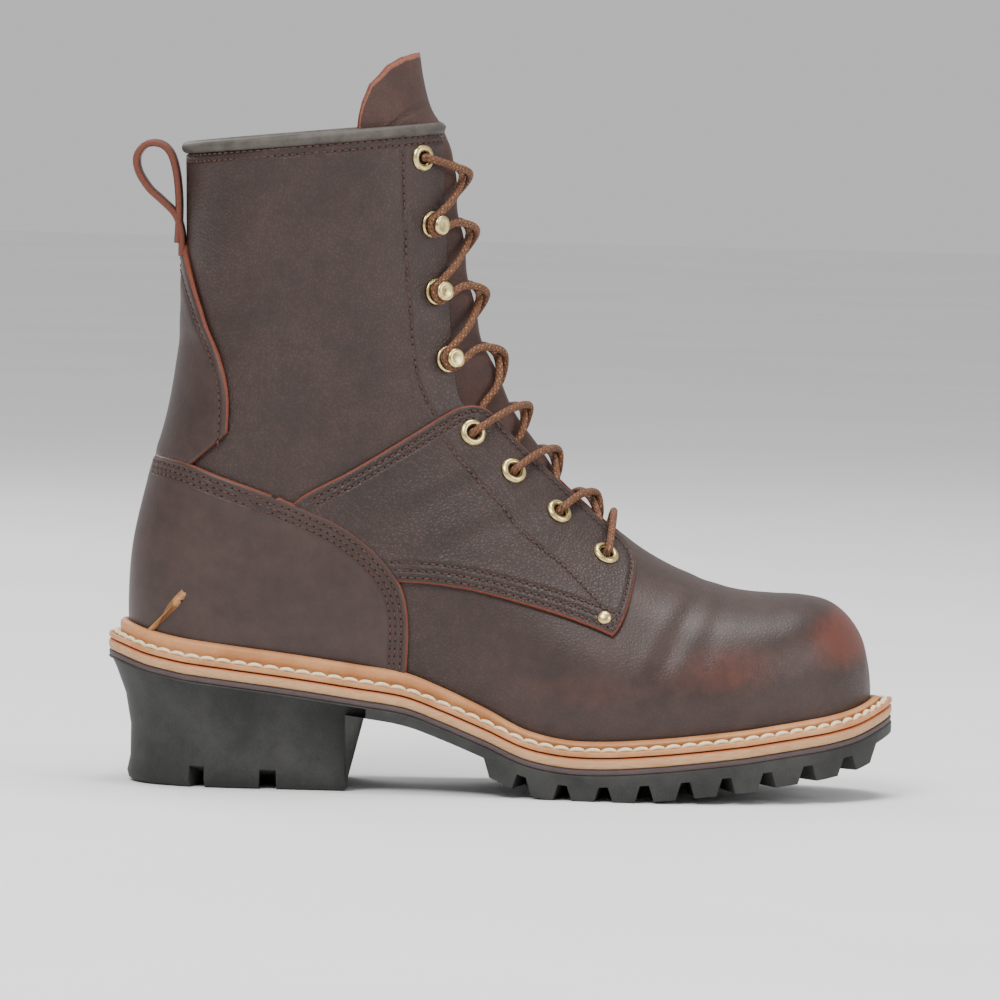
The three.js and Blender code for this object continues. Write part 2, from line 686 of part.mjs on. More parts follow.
// Welt: one ring all round, a flange with a rib that leans on the upper.
function weltRing() {
  const rim = plan(weltMargin);
  const tucked = plan(-weltTuckUnder, 0);
  const rings = outline.map(({ s, side }, i) => {
    const foot = plan(0, 0)[i];
    const top = ribTop(foot.x);
    const base = formPoint(s, side);
    const out = new THREE.Vector3(rim[i].x - foot.x, rim[i].y - foot.y, 0).normalize();
    const at = (distance, z) => new THREE.Vector3(base.x, base.y, z).addScaledVector(out, distance);
    const lean = reach((distance) => holds(at(distance, top)));
    return [
      raise(tucked[i], (x) => seat(x) - weltThickness + 2 * seamGap),
      raise(tucked[i], (x) => seat(x) - seamGap),
      at(seamGap - wallThickness, seat(foot.x)),
      at(lean - wallThickness, top),
      at(lean + seamGap + weltRibThickness * 0.7, top - 0.4),
      at(seamGap + weltRibThickness, seat(foot.x) + 0.2),
      raise(rim[i], seat),
      raise(rim[i], (x) => seat(x) - weltThickness),
    ];
  });
  return loft(rings, true).subtract(formSolid(2 * seamGap, collarRow, 2 * seamGap));
}

// The largest distance, up to a few millimetres, that a test still holds.
function reach(test) {
  let low = -1;
  let high = weltRibHeight;
  for (let i = 0; i < 30; i += 1) {
    const middle = (low + high) / 2;
    if (test(middle)) low = middle;
    else high = middle;
  }
  return low;
}
addPiece("welt", weltRing(), welted);

addPiece(
  "insole",
  plate(-wallThickness - insoleClearance, (x) => seat(x) + 2 * seamGap, (x) => seat(x) + insoleThickness, 0),
  { color: 0x9c7650, roughness: 0.8, metalness: 0 },
);

// Upper: one hollow solid, open at the collar, along the throat and underneath.
const throatFront = [[0.165, 0.54], [0.3, 0.7], [0.3, 3], [-0.0983, 3]];
const throat = sidePrism([...facingEdge, ...throatFront].map(place));
const aboveRim = (drop) =>
  sidePrism([
    [-upperLength, rimZ(-upperLength) - drop],
    [upperLength, rimZ(upperLength) - drop],
    [upperLength, skyFar],
    [-upperLength, skyFar],
  ]);
const shell = (inner, outer) =>
  formSolid(outer, collarRow + 1).subtract(formSolid(inner, collarRow + 2, insoleThickness));
const upper = shell(-wallThickness, 0)
  .subtract(aboveRim(bindingHeight + seamGap))
  .subtract(throat);

// Overlays: sheets between two larger forms, cut to their outlines in the side view.
const overlay = shell(seamGap, quarterFace);
const belowRib = slab(() => floorFar, (x) => ribTop(x) + seamGap);
const counterArea = (rise) => [
  ...counterTop.map(place).map(([x, z]) => [x + rise, z + rise]),
  [-0.6 * upperLength, floorFar],
];
const counter = overlay.intersect(sidePrism(counterArea(0))).subtract(belowRib);
const clearOfCounter = sidePrism(counterArea(seamGap * 1.5));
const backstay = overlay.intersect(sidePrism(backstayOutline.map(place))).subtract(clearOfCounter);
const quarterBand = overlay.subtract(clearOfCounter);
const quarters = {
  lateral: quarterBand.intersect(sidePrism(quarterOutline.map(place), -farSide, 0)),
  medial: quarterBand.intersect(sidePrism(quarterOutline.map(place), 0, farSide)),
};
const binding = shell(-wallThickness - bindingLining, bindingRoll)
  .intersect(aboveRim(bindingHeight))
  .subtract(aboveRim(0))
  .subtract(throat);

addPiece("upper", upper, leather);
addPiece("counter", counter, leather);
addPiece("backstay", backstay, leather);
addPiece("quarter_lateral", quarters.lateral, leather);
addPiece("quarter_medial", quarters.medial, leather);
addPiece("collar_binding", binding, { color: 0x4b4845, roughness: 0.7, metalness: 0 });

// Signed v of the form's upper half at a sideways distance y.
function vAt(s, y) {
  const row = sectionAt(s);
  const breadth = y < row.peak ? row.outer + row.peak : row.inner - row.peak;
  const share = clamp(Math.abs(y - row.peak) / breadth, 0, 0.999);
  const c = (1 - share ** row.fullTop) ** (1 / row.fullTop);
  return (Math.sign(y - row.peak) * (Math.PI - Math.acos(-c))) / (Math.PI - Math.acos(row.cut));
}

// Tongue: a sheet under the throat that swells up between the facings and stands above the collar.
function tongueSheet() {
  const first = heelRow - 10.6;
  const swellStart = heelRow - 9.2;
  const layers = [0, -tongueThickness];
  const rings = [];
  for (let s = first; s <= lastRow; s = Math.min(Math.floor(s) + 1, lastRow) + (s === lastRow ? 1 : 0)) {
    const half = mix(tongueFootWidth, tongueTopWidth, clamp((s - first) / (collarRow - first)));
    const open = smooth(clamp(s - swellStart)) * (1 - smooth(clamp((s - collarRow + 2) / 2)));
    const ring = layers.map((depth) =>
      [-1, -0.75, -0.5, -0.25, 0, 0.25, 0.5, 0.75, 1].map((share) => {
        const y = sectionAt(s).peak + share * half;
        const swell = open * smooth(clamp((tongueCrown - Math.abs(share * half)) / tongueCrown + 0.35));
        return formOffset(s, vAt(s, y), depth - tongueBed + swell * (tongueBed - seamGap));
      }),
    );
    rings.push([...ring[0], ...ring[1].reverse()]);
  }
  return loft(rings).subtract(sidePrism(tongueTop.map(place)));
}
addPiece("tongue", tongueSheet(), { color: 0x553a33, roughness: 0.7, metalness: 0 });

// Pull loop: a strap folded over and stitched to the back above the backstay.
function pullLoop() {
  const backX = (z) => Math.min(formPoint(locate(-farSide * 2, z, 1).s, 1).x, 0);
  const foot = place([0, backstayOutline[1][1]])[1] + 1;
  const arc = (centreUp, radiusX, radiusZ, from, to) => {
    const points = [];
    for (let i = 0; i <= 8; i += 1) {
      const angle = mix(from, to, i / 8);
      points.push([Math.cos(angle) * radiusX, centreUp + Math.sin(angle) * radiusZ]);
    }
    return points;
  };
  const back = backX(foot) - 2 * seamGap - 0.6;
  const middle = back - loopReach / 2;
  const bend = loopReach / 2;
  const shoulder = foot + loopHeight - bend;
  const outer = arc(shoulder, bend, bend, 0, Math.PI).map(([x, z]) => [middle + x, z]);
  const inside = bend - loopThickness;
  const inner = arc(shoulder, inside, inside, Math.PI, 0).map(([x, z]) => [middle + x, z]);
  const shape = new THREE.Shape(
    [[back, foot], ...outer, [middle - bend + 2.5, shoulder - 8], [back - loopThickness, foot]].map(
      ([x, z]) => new THREE.Vector2(x, z),
    ),
  );
  shape.holes.push(
    new THREE.Path(
      [...inner, [back - loopThickness, foot + 10], [middle - bend + 6.8, shoulder - 7]].map(
        ([x, z]) => new THREE.Vector2(x, z),
      ),
    ),
  );
  const geometry = new THREE.ExtrudeGeometry(shape, { depth: loopWidth, bevelEnabled: false });
  geometry.rotateX(Math.PI / 2);
  geometry.translate(0, loopWidth / 2, 0);
  return manifoldOf(geometry);
}
addPiece("pull_loop", pullLoop(), { color: 0x6a4033, roughness: 0.6, metalness: 0 });

// Hardware stands on the leather along its normal.
function turned(profile, segments) {
  const closed = [...profile, profile[0]].map(([radius, height]) => new THREE.Vector2(radius, height));
  const geometry = new THREE.LatheGeometry(closed, segments);
  geometry.rotateX(Math.PI / 2);
  return geometry;
}
function stand(geometry, { s, v, face }) {
  const up = new THREE.Quaternion().setFromUnitVectors(new THREE.Vector3(0, 0, 1), formNormal(s, v));
  const foot = formOffset(s, v, face + hardwareLift);
  const placed = geometry.clone().applyQuaternion(up).translate(foot.x, foot.y, foot.z);
  return manifoldOf(placed);
}
const eyelet = turned(
  [
    [eyeletHoleRadius, 0],
    [eyeletHoleRadius, eyeletRise * 0.7],
    [eyeletHoleRadius + 0.9, eyeletRise],
    [eyeletRadius - 0.7, eyeletRise * 0.85],
    [eyeletRadius, 0],
  ],
  8,
);
const hook = turned(
  [
    [0, 0],
    [hookBaseRadius, 0],
    [hookBaseRadius - 0.5, hookBaseThickness],
    [hookStemRadius, hookBaseThickness],
    [hookStemRadius, hookReach - hookButtonThickness],
    [hookButtonRadius, hookReach - hookButtonThickness],
    [hookButtonRadius - 0.5, hookReach],
    [0, hookReach],
  ],
  8,
);
const rivet = turned([[0, 0], [rivetRadius, 0], [rivetRadius * 0.75, rivetRise * 0.8], [0, rivetRise]], 8);

const seats = lacingRows.map(({ along, up, kind }, i) => {
  const face = i < quarterRows ? quarterFace : 0;
  const [x, z] = place([along, up]);
  return { kind, outer: { ...locate(x, z, -1), face }, inner: { ...locate(x, z, 1), face } };
});
seats.forEach(({ kind, outer, inner }, i) => {
  const geometry = kind === "hook" ? hook : eyelet;
  addPiece(`${kind}_lateral_${i + 1}`, stand(geometry, outer), brass);
  addPiece(`${kind}_medial_${i + 1}`, stand(geometry, inner), brass);
});
const rivetSpot = place(rivetPlace);
addPiece("rivet_lateral", stand(rivet, { ...locate(...rivetSpot, -1), face: quarterFace }), brass);
addPiece("rivet_medial", stand(rivet, { ...locate(...rivetSpot, 1), face: quarterFace }), brass);

// Laces: a bar across the lowest eyelets, then crossings. A strand comes up through the gap beside
// one row, or from behind its hook, and goes over the facing to the next row on the other side.
const laceRadius = laceDiameter / 2;
const laceLift = laceRadius + 2 * seamGap;
function laceTube(points) {
  const section = new THREE.Shape();
  section.absellipse(0, 0, laceRadius, laceRadius, 0, Math.PI * 2);
  const extrudePath = new THREE.CatmullRomCurve3(points);
  const look = { steps: laceSteps, curveSegments: 3, extrudePath, bevelEnabled: false };
  return manifoldOf(new THREE.ExtrudeGeometry(section, look));
}
const besideHook = ({ s, v }, way) => {
  const along = formPoint(s + 0.1, v).sub(formPoint(s - 0.1, v)).normalize();
  const height = hardwareLift + (hookBaseThickness + hookReach - hookButtonThickness) / 2;
  return formOffset(s, v, height).addScaledVector(along, way * (hookStemRadius + laceRadius + 2 * seamGap));
};
const overEyelet = ({ s, v, face }) => formOffset(s, v, face + 2 * hardwareLift + eyeletRise + laceLift);
function strand(from, to, kindFrom, kindTo, side, lift) {
  const middle = mix(from.s, to.s, crossingShare);
  const onRidge = formOffset(middle, 0, lift);
  const above = from.s + 0.4;
  const gap = formOffset(above, vAt(above, side * laceGap), laceLift);
  const leave = kindFrom === "hook" ? besideHook(from, 1) : gap;
  const arrive = kindTo === "hook" ? besideHook(to, -1) : overEyelet(to);
  const edgeRow = mix(middle, to.s, 0.55);
  const edge = formOffset(edgeRow, to.v * facingShare, to.face + laceLift + 2 * hardwareLift);
  const points = [leave];
  if (kindFrom === "hook") {
    points.push(formOffset(mix(from.s, middle, 0.5), from.v * 0.55, laceLift + hardwareLift));
  }
  points.push(onRidge, edge, arrive);
  return laceTube(points);
}
const bar = laceTube([
  overEyelet(seats[0].outer),
  formOffset(seats[0].outer.s, seats[0].outer.v * 0.5, quarterFace + laceLift),
  formOffset(seats[0].outer.s, 0, quarterFace + laceLift),
  formOffset(seats[0].inner.s, seats[0].inner.v * 0.5, quarterFace + laceLift),
  overEyelet(seats[0].inner),
]);
const laceLook = { color: 0x5a4030, roughness: 0.8, metalness: 0 };
addPiece("lace_bar", bar, laceLook);
for (let i = 0; i + 1 < seats.length; i += 1) {
  const [from, to] = [seats[i], seats[i + 1]];
  const low = strand(from.outer, to.inner, from.kind, to.kind, -1, laceLift);
  const high = strand(from.inner, to.outer, from.kind, to.kind, 1, laceLift + laceDiameter * 0.9);
  addPiece(`lace_cross_${i + 1}`, low.add(high), laceLook);
}

const box = new THREE.Box3().setFromObject(boot);
boot.position.set(-(box.min.x + box.max.x) / 2, -(box.min.y + box.max.y) / 2, -box.min.z);

export default boot;
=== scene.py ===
# Logger boot, right foot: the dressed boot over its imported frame. Shapes are worked out in millimetres
# on the last, with the toe at +x and the inner side at +y, and put into meshes in metres.
import math
import bmesh
import bpy
import numpy as np
from mathutils import Matrix, Vector


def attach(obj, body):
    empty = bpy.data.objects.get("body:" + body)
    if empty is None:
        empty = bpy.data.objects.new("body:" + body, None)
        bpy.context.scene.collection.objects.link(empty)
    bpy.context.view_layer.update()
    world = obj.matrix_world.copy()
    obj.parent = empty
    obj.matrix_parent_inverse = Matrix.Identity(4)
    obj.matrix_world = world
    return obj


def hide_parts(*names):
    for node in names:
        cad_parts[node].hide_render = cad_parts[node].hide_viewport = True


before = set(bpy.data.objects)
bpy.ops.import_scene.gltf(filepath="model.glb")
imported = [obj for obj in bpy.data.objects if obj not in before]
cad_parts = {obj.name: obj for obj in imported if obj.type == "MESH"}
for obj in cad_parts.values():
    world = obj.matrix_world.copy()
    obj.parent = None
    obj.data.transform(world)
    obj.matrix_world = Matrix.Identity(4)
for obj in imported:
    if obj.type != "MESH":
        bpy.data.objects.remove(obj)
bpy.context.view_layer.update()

# Last and stack sizes, as in the frame
last = {
    "length": 288.0, "ball": 100.0, "shaftBreadth": 86.0, "instep": 190.0, "shaft": 70.0,
    "collarDrop": 10.5,
    "stack": 20.0, "heelRise": 38.0, "toeSpring": 19.0, "seamGap": 0.3, "overlay": 2.0,
    "weltMargin": 8.4, "weltThick": 2.4, "midsoleThick": 3.6, "slipThick": 2.3, "web": 4.2,
}

# Seat line: shares of the length from its middle, of the heel rise and of the toe spring
seatLine = {
    "along": [-.56, -.52, -.48, -.43, -.36, -.28, -.2, -.13, -.07, -.02, .03, .08, .13, .19, .26, .33,
              .39, .44,
              .48, .52, .56],
    "heel": [1.04, .98, .89, .82, .76, .69, .61, .53, .37, .22, .06, -.01, -.02, 0, 0, 0, 0, 0, 0, 0, 0],
    "toe": [0, 0, 0, 0, 0, 0, 0, 0, 0, 0, 0, 0, 0, .02, .13, .26, .4, .52, .67, .94, 1.25],
}

# Sections from the toe back to the heel: shares of the length, the instep height and the ball breadth
foot = {
    "ridgeX": [.5, .499, .4955, .486, .466, .439, .403, .362, .32, .275, .231, .191, .157, .123, .09,
               .06, .033,
               .012, -.006, -.0215, -.0345, -.043, -.05],
    "ridgeZ": [.2, .232, .272, .326, .371, .4, .411, .413, .418, .435, .461, .493, .529, .57, .618,
               .669, .722,
               .772, .822, .87, .915, .958, 1],
    "footX": [.5, .499, .4955, .486, .466, .439, .403, .362, .32, .275, .231, .188, .142, .09, .032,
              -.036, -.11,
              -.19, -.272, -.35, -.416, -.465, -.49],
    "outer": [-.04, .005, .06, .14, .24, .325, .402, .462, .505, .53, .541, .541, .532, .51, .476, .44,
              .412, .397,
              .39, .387, .386, .386, .386],
    "inner": [.04, .08, .13, .21, .29, .35, .4, .435, .456, .468, .47, .464, .452, .434, .412, .393,
              .383, .38, .38,
              .381, .382, .383, .384],
    "peak": [.04, .04, .04, .041, .043, .046, .05, .055, .06, .065, .068, .07, .068, .064, .057, .048,
             .038, .029,
             .021, .014, .008, .004, .001],
    "tuck": [.97, .97, .97, .965, .96, .955, .95, .95, .95, .95, .95, .948, .94, .928, .91, .885, .862,
             .845, .845,
             .84, .78, .57, .3],
    "fullTop": [2.3, 2.3, 2.35, 2.4, 2.45, 2.5, 2.5, 2.4, 2.28, 2.14, 2, 1.9, 1.82, 1.78, 1.76, 1.76,
                1.78, 1.8,
                1.83, 1.86, 1.9, 1.92, 1.94],
    "fullFoot": [2.5, 2.5, 2.5, 2.5, 2.5, 2.5, 2.5, 2.5, 2.5, 2.5, 2.5, 2.45, 2.4, 2.35, 2.3, 2.25, 2.2,
                 2.2, 2.22,
                 2.28, 2.34, 2.38, 2.4],
}

# Sections of the back and the shaft: climb is a share of the shaft height above the instep
shaft = {
    "ridgeX": [-.056, -.0615, -.0665, -.0715, -.0752, -.0785, -.0805, -.083, -.0855, -.1, -.11, -.117],
    "climb": [.12, .24, .36, .48, .59, .7, .8, .9, 1, 1.1, 1.25, 1.43],
    "footX": [-.4975, -.5012, -.497, -.4785, -.4545, -.442, -.4403, -.4424, -.4444, -.445, -.446, -.447],
    "footZ": [.222, .283, .372, .474, .58, .685, .787, .895, 1, 1.06, 1.11, 1.17],
    "breadth": [.9, .902, .908, .92, .938, .956, .972, .986, 1, 1, .99, .98],
    "fullTop": [1.95, 1.96, 1.97, 1.98, 2, 2, 2, 2, 2, 2, 2, 2],
    "fullFoot": [2.4, 2.38, 2.32, 2.2, 2.1, 2.05, 2.02, 2, 2, 2, 2, 2],
}
heelRow = 23
collarRow = 31
lastRow = 34


def readCurve(values, at):
    # Catmull-Rom curve through a list, read at fractional places
    values = np.asarray(values, float)
    i = np.clip(np.floor(at).astype(int), 0, len(values) - 2)
    t = at - i
    p1 = values[i]
    p2 = values[i + 1]
    p0 = np.where(i > 0, values[np.maximum(i - 1, 0)], 2 * p1 - p2)
    p3 = np.where(i + 2 < len(values), values[np.minimum(i + 2, len(values) - 1)], 2 * p2 - p1)
    bend = (p2 - p0) * t + (2 * p0 - 5 * p1 + 4 * p2 - p3) * t**2 + (3 * p1 - p0 - 3 * p2 + p3) * t**3
    return p1 + 0.5 * bend


def smooth(t):
    # slow-in, slow-out ramp from 0 to 1
    t = np.clip(t, 0, 1)
    return t * t * (3 - 2 * t)


def mix(a, b, t):
    return a + (b - a) * t


def seat(x):
    # height of the welt's upper face at x: stack + heel share of the rise + toe share of the spring
    at = np.interp(np.asarray(x, float) / last["length"], seatLine["along"],
                   np.arange(len(seatLine["along"])))
    rise = readCurve(seatLine["heel"], at) * last["heelRise"] + readCurve(seatLine["toe"],
                                                                          at) * last["toeSpring"]
    return last["stack"] + rise


def makeSections():
    # the rows of both tables in millimetres, one list for each column
    length = last["length"]
    back = last["instep"] + last["shaft"] - last["collarDrop"]
    half = np.array(shaft["breadth"]) * last["shaftBreadth"] / 2
    none = np.zeros(len(half))
    footX = np.array(foot["footX"]) * length
    return {
        "ridgeX": np.append(np.array(foot["ridgeX"]) * length, np.array(shaft["ridgeX"]) * length),
        "ridgeZ": np.append(np.array(foot["ridgeZ"]) * last["instep"],
                            last["instep"] + np.array(shaft["climb"]) * last["shaft"]),
        "footX": np.append(footX, np.array(shaft["footX"]) * length),
        "footZ": np.append(seat(footX) + last["seamGap"], np.array(shaft["footZ"]) * back),
        "outer": np.append(np.array(foot["outer"]) * last["ball"], half),
        "inner": np.append(np.array(foot["inner"]) * last["ball"], half),
        "peak": np.append(np.array(foot["peak"]) * last["ball"], none),
        "tuck": np.append(foot["tuck"], none),
        "fullTop": np.append(foot["fullTop"], shaft["fullTop"]),
        "fullFoot": np.append(foot["fullFoot"], shaft["fullFoot"]),
    }


sections = makeSections()


def sectionAt(s, keys=None):
    row = {key: readCurve(sections[key], s) for key in (keys or sections)}
    if keys is None:
        row["tuck"] = np.where(s >= heelRow, 0, np.clip(row["tuck"], 0, 0.99))
        row["cut"] = (1 - row["tuck"] ** row["fullFoot"]) ** (1 / row["fullFoot"])
    return row


def formPoint(s, v):
    # a point of the last: s is the section, v runs from the outer foot line (-1) over the ridge (0) to the
    # inner foot line (1); across the rib it is a superellipse, along the rib a straight line
    s, v = np.broadcast_arrays(np.asarray(s, float), np.asarray(v, float))
    row = sectionAt(s)
    c = np.cos(mix(np.pi, np.arccos(row["cut"]), np.abs(v)))
    full = np.where(c > 0, row["fullFoot"], row["fullTop"])
    breadth = np.where(v < 0, row["outer"] + row["peak"], row["inner"] - row["peak"])
    out = breadth * np.maximum(1 - np.abs(c) ** full, 0) ** (1 / full)
    t = (row["cut"] - c) / (row["cut"] + 1)
    x = mix(row["footX"], row["ridgeX"], t)
    z = mix(row["footZ"], row["ridgeZ"], t)
    return np.stack([x, row["peak"] + np.sign(v) * out, z], axis=-1)


def unit(vectors):
    return vectors / np.maximum(np.linalg.norm(vectors, axis=-1, keepdims=True), 1e-9)


def formNormal(s, v):
    # outward direction: across the section times along the boot
    s, v = np.broadcast_arrays(np.asarray(s, float), np.asarray(v, float))
    across = formPoint(s, np.minimum(v + 0.01, 1)) - formPoint(s, np.maximum(v - 0.01, -1))
    across[np.abs(v) < 1e-6] = (0, 1, 0)
    across[(s >= heelRow) & (np.abs(v) > 1 - 1e-6)] = (0, -1, 0)
    normal = unit(np.cross(across, formPoint(s + 0.02, v) - formPoint(s - 0.02, v)))
    normal[s < 1e-6] = (1, 0, 0)
    return normal


def formOffset(s, v, lift):
    return formPoint(s, v) + formNormal(s, v) * np.asarray(lift, float)[..., None]


def locate(x, z, side):
    # section and v of the point that lies at x and z in the side view, by halving the section interval
    x, z = np.broadcast_arrays(np.asarray(x, float), np.asarray(z, float))
    low = np.zeros(x.shape)
    high = np.full(x.shape, float(lastRow))
    places = ("ridgeX", "ridgeZ", "footX", "footZ")
    for _ in range(36):
        middle = (low + high) / 2
        row = sectionAt(middle, places)
        ahead = ((row["ridgeX"] - row["footX"]) * (z - row["footZ"])
                 > (row["ridgeZ"] - row["footZ"]) * (x - row["footX"]))
        low = np.where(ahead, middle, low)
        high = np.where(ahead, high, middle)
    row = sectionAt(low)
    ribX = row["ridgeX"] - row["footX"]
    ribZ = row["ridgeZ"] - row["footZ"]
    share = ((x - row["footX"]) * ribX + (z - row["footZ"]) * ribZ) / (ribX**2 + ribZ**2)
    start = np.arccos(row["cut"])
    angle = np.arccos(np.clip(row["cut"] - np.clip(share, 0, 1) * (row["cut"] + 1), -1, 1))
    return low, side * (np.pi - angle) / (np.pi - start)


def vAt(s, y):
    # v of the upper half of a section at a sideways distance y
    row = sectionAt(s)
    breadth = np.where(y < row["peak"], row["outer"] + row["peak"], row["inner"] - row["peak"])
    share = np.clip(np.abs(y - row["peak"]) / breadth, 0, 0.999)
    c = (1 - share ** row["fullTop"]) ** (1 / row["fullTop"])
    return np.sign(y - row["peak"]) * (np.pi - np.arccos(-c)) / (np.pi - np.arccos(row["cut"]))


def curve(points, count):
    # an even run of points on a smooth open curve through a few given ones
    points = np.asarray(points, float)
    dense = np.linspace(0, len(points) - 1, len(points) * 24)
    path = np.stack([readCurve(points[:, k], dense) for k in range(points.shape[1])], axis=1)
    return even(path, count)


def even(path, count):
    # the same path with its points an equal length apart
    run = np.append(0, np.cumsum(np.linalg.norm(np.diff(path, axis=0), axis=1)))
    at = np.linspace(0, run[-1], count)
    return np.stack([np.interp(at, run, path[:, k]) for k in range(path.shape[1])], axis=1)


def pathLength(path):
    return np.linalg.norm(np.diff(path, axis=0), axis=1).sum()


def distanceTo(x, z, paths):
    # shortest side-view distance from each point to any of the paths
    best = np.full(np.shape(x), 99.0)
    for path in paths:
        for a, b in zip(path[:-1], path[1:]):
            d = b - a
            t = np.clip(((x - a[0]) * d[0] + (z - a[1]) * d[1]) / max(d @ d, 1e-9), 0, 1)
            best = np.minimum(best, np.hypot(x - a[0] - t * d[0], z - a[1] - t * d[1]))
    return best


def shifted(path, distance):
    # a side-view path moved sideways, to the left of its direction
    d = unit(np.gradient(path, axis=0))
    return path + distance * np.stack([-d[:, 1], d[:, 0]], axis=1)


# Plan outline of the foot line, from the toe back along the outer side and forward along the inner side
outlineRow = np.append(np.arange(heelRow + 1), np.arange(heelRow - 1, 0, -1)).astype(float)
outlineSide = np.append(-np.ones(heelRow + 1), np.ones(heelRow - 1))
outlineFoot = formPoint(outlineRow, outlineSide)


def counterBuild(x):
    # how much the counter thickens the upper at x, which the sole follows
    return (last["seamGap"] + last["overlay"]) * smooth((-0.1 * last["length"] - x) / 25)


def planCorners(grow, spread=1.0):
    # the outline's corners moved out by a length
    before = np.roll(outlineFoot, 1, axis=0)
    after = np.roll(outlineFoot, -1, axis=0)
    side = unit(np.stack([before[:, 1] - after[:, 1], after[:, 0] - before[:, 0]], axis=1))
    return outlineFoot[:, :2] + side * (grow + spread * counterBuild(outlineFoot[:, 0]))[:, None]


def closedCurve(corners, at):
    # smooth closed curve through the corners, read at fractional corners
    count = len(corners)
    i = np.floor(at).astype(int)
    t = (at - i)[..., None]
    p0, p1, p2, p3 = (corners[(i + k) % count] for k in (-1, 0, 1, 2))
    bend = (p2 - p0) * t + (2 * p0 - 5 * p1 + 4 * p2 - p3) * t**2 + (3 * p1 - p0 - 3 * p2 + p3) * t**3
    return p1 + 0.5 * bend


def planCurve(grow, at, spread=1.0):
    return closedCurve(planCorners(grow, spread), np.asarray(at, float))


rim = planCorners(last["weltMargin"])
shift = np.array([-(rim[:, 0].min() + rim[:, 0].max()) / 2, -(rim[:, 1].min() + rim[:, 1].max()) / 2, 0])


def toFrame(points):
    # millimetres on the last to metres in the frame
    return (np.asarray(points, float) + shift) / 1000


def putMesh(name, points, faces, materials, faceMaterial=None, attributes=None, uv=None):
    # one object at the origin from arrays of points and faces
    mesh = bpy.data.meshes.new(name)
    mesh.from_pydata(toFrame(points).reshape(-1, 3).tolist(), [], [list(map(int, face)) for face in faces])
    for key, values in (attributes or {}).items():
        layer = mesh.attributes.new(key, "FLOAT", "POINT")
        layer.data.foreach_set("value", np.asarray(values, np.float32).ravel())
    if uv is not None:
        layer = mesh.uv_layers.new(name="UVMap")
        corner = np.zeros(len(mesh.loops), np.int32)
        mesh.loops.foreach_get("vertex_index", corner)
        layer.data.foreach_set("uv", np.asarray(uv, np.float32).reshape(-1, 2)[corner].ravel())
    for material in materials:
        mesh.materials.append(material)
    if faceMaterial is not None:
        mesh.polygons.foreach_set("material_index", np.asarray(faceMaterial, np.int32))
    mesh.polygons.foreach_set("use_smooth", np.ones(len(mesh.polygons), bool))
    mesh.update()
    piece = bpy.data.objects.new(name, mesh)
    bpy.context.scene.collection.objects.link(piece)
    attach(piece, "root")
    return piece


def gridFaces(rows, columns, start=0, wrapColumns=False, wrapRows=False):
    # quads over a grid of points, wound along the rows first
    i = np.arange(rows if wrapRows else rows - 1)[:, None]
    j = np.arange(columns if wrapColumns else columns - 1)[None, :]
    a = i * columns + j
    b = i * columns + (j + 1) % columns
    c = ((i + 1) % rows) * columns + (j + 1) % columns
    d = ((i + 1) % rows) * columns + j
    return np.stack([a, b, c, d], axis=-1).reshape(-1, 4) + start


def weld(piece, distance=0.002):
    # merges the doubles of a mesh and drops faces that have shut; distance in millimetres
    shape = bmesh.new()
    shape.from_mesh(piece.data)
    bmesh.ops.remove_doubles(shape, verts=shape.verts, dist=distance / 1000)
    bmesh.ops.dissolve_degenerate(shape, dist=1e-7, edges=shape.edges)
    shape.to_mesh(piece.data)
    shape.free()
    piece.data.polygons.foreach_set("use_smooth", np.ones(len(piece.data.polygons), bool))


def turnOut(piece):
    # makes every face of a closed mesh point outwards
    shape = bmesh.new()
    shape.from_mesh(piece.data)
    bmesh.ops.recalc_face_normals(shape, faces=shape.faces)
    shape.to_mesh(piece.data)
    shape.free()


print("finishes")


def ink(red, green, blue):
    # a colour as seen on screen, 0 to 255, to the linear colour that the shader takes
    parts = [part / 255 for part in (red, green, blue)]
    return tuple(p / 12.92 if p <= 0.04045 else ((p + 0.055) / 1.055) ** 2.4 for p in parts) + (1.0,)


class Wire:
    # a socket that takes part in sums: every operator adds its Math node
    def __init__(self, finish, socket):
        self.finish = finish
        self.socket = socket

    def step(self, operation, *values):
        return self.finish.node("ShaderNodeMath", {"operation": operation}, dict(enumerate(values)))

    def __add__(self, other):
        return self.step("ADD", self, other)

    def __radd__(self, other):
        return self.step("ADD", other, self)

    def __sub__(self, other):
        return self.step("SUBTRACT", self, other)

    def __rsub__(self, other):
        return self.step("SUBTRACT", other, self)

    def __mul__(self, other):
        return self.step("MULTIPLY", self, other)

    def __rmul__(self, other):
        return self.step("MULTIPLY", other, self)

    def __truediv__(self, other):
        return self.step("DIVIDE", self, other)

    def __pow__(self, other):
        return self.step("POWER", self, other)


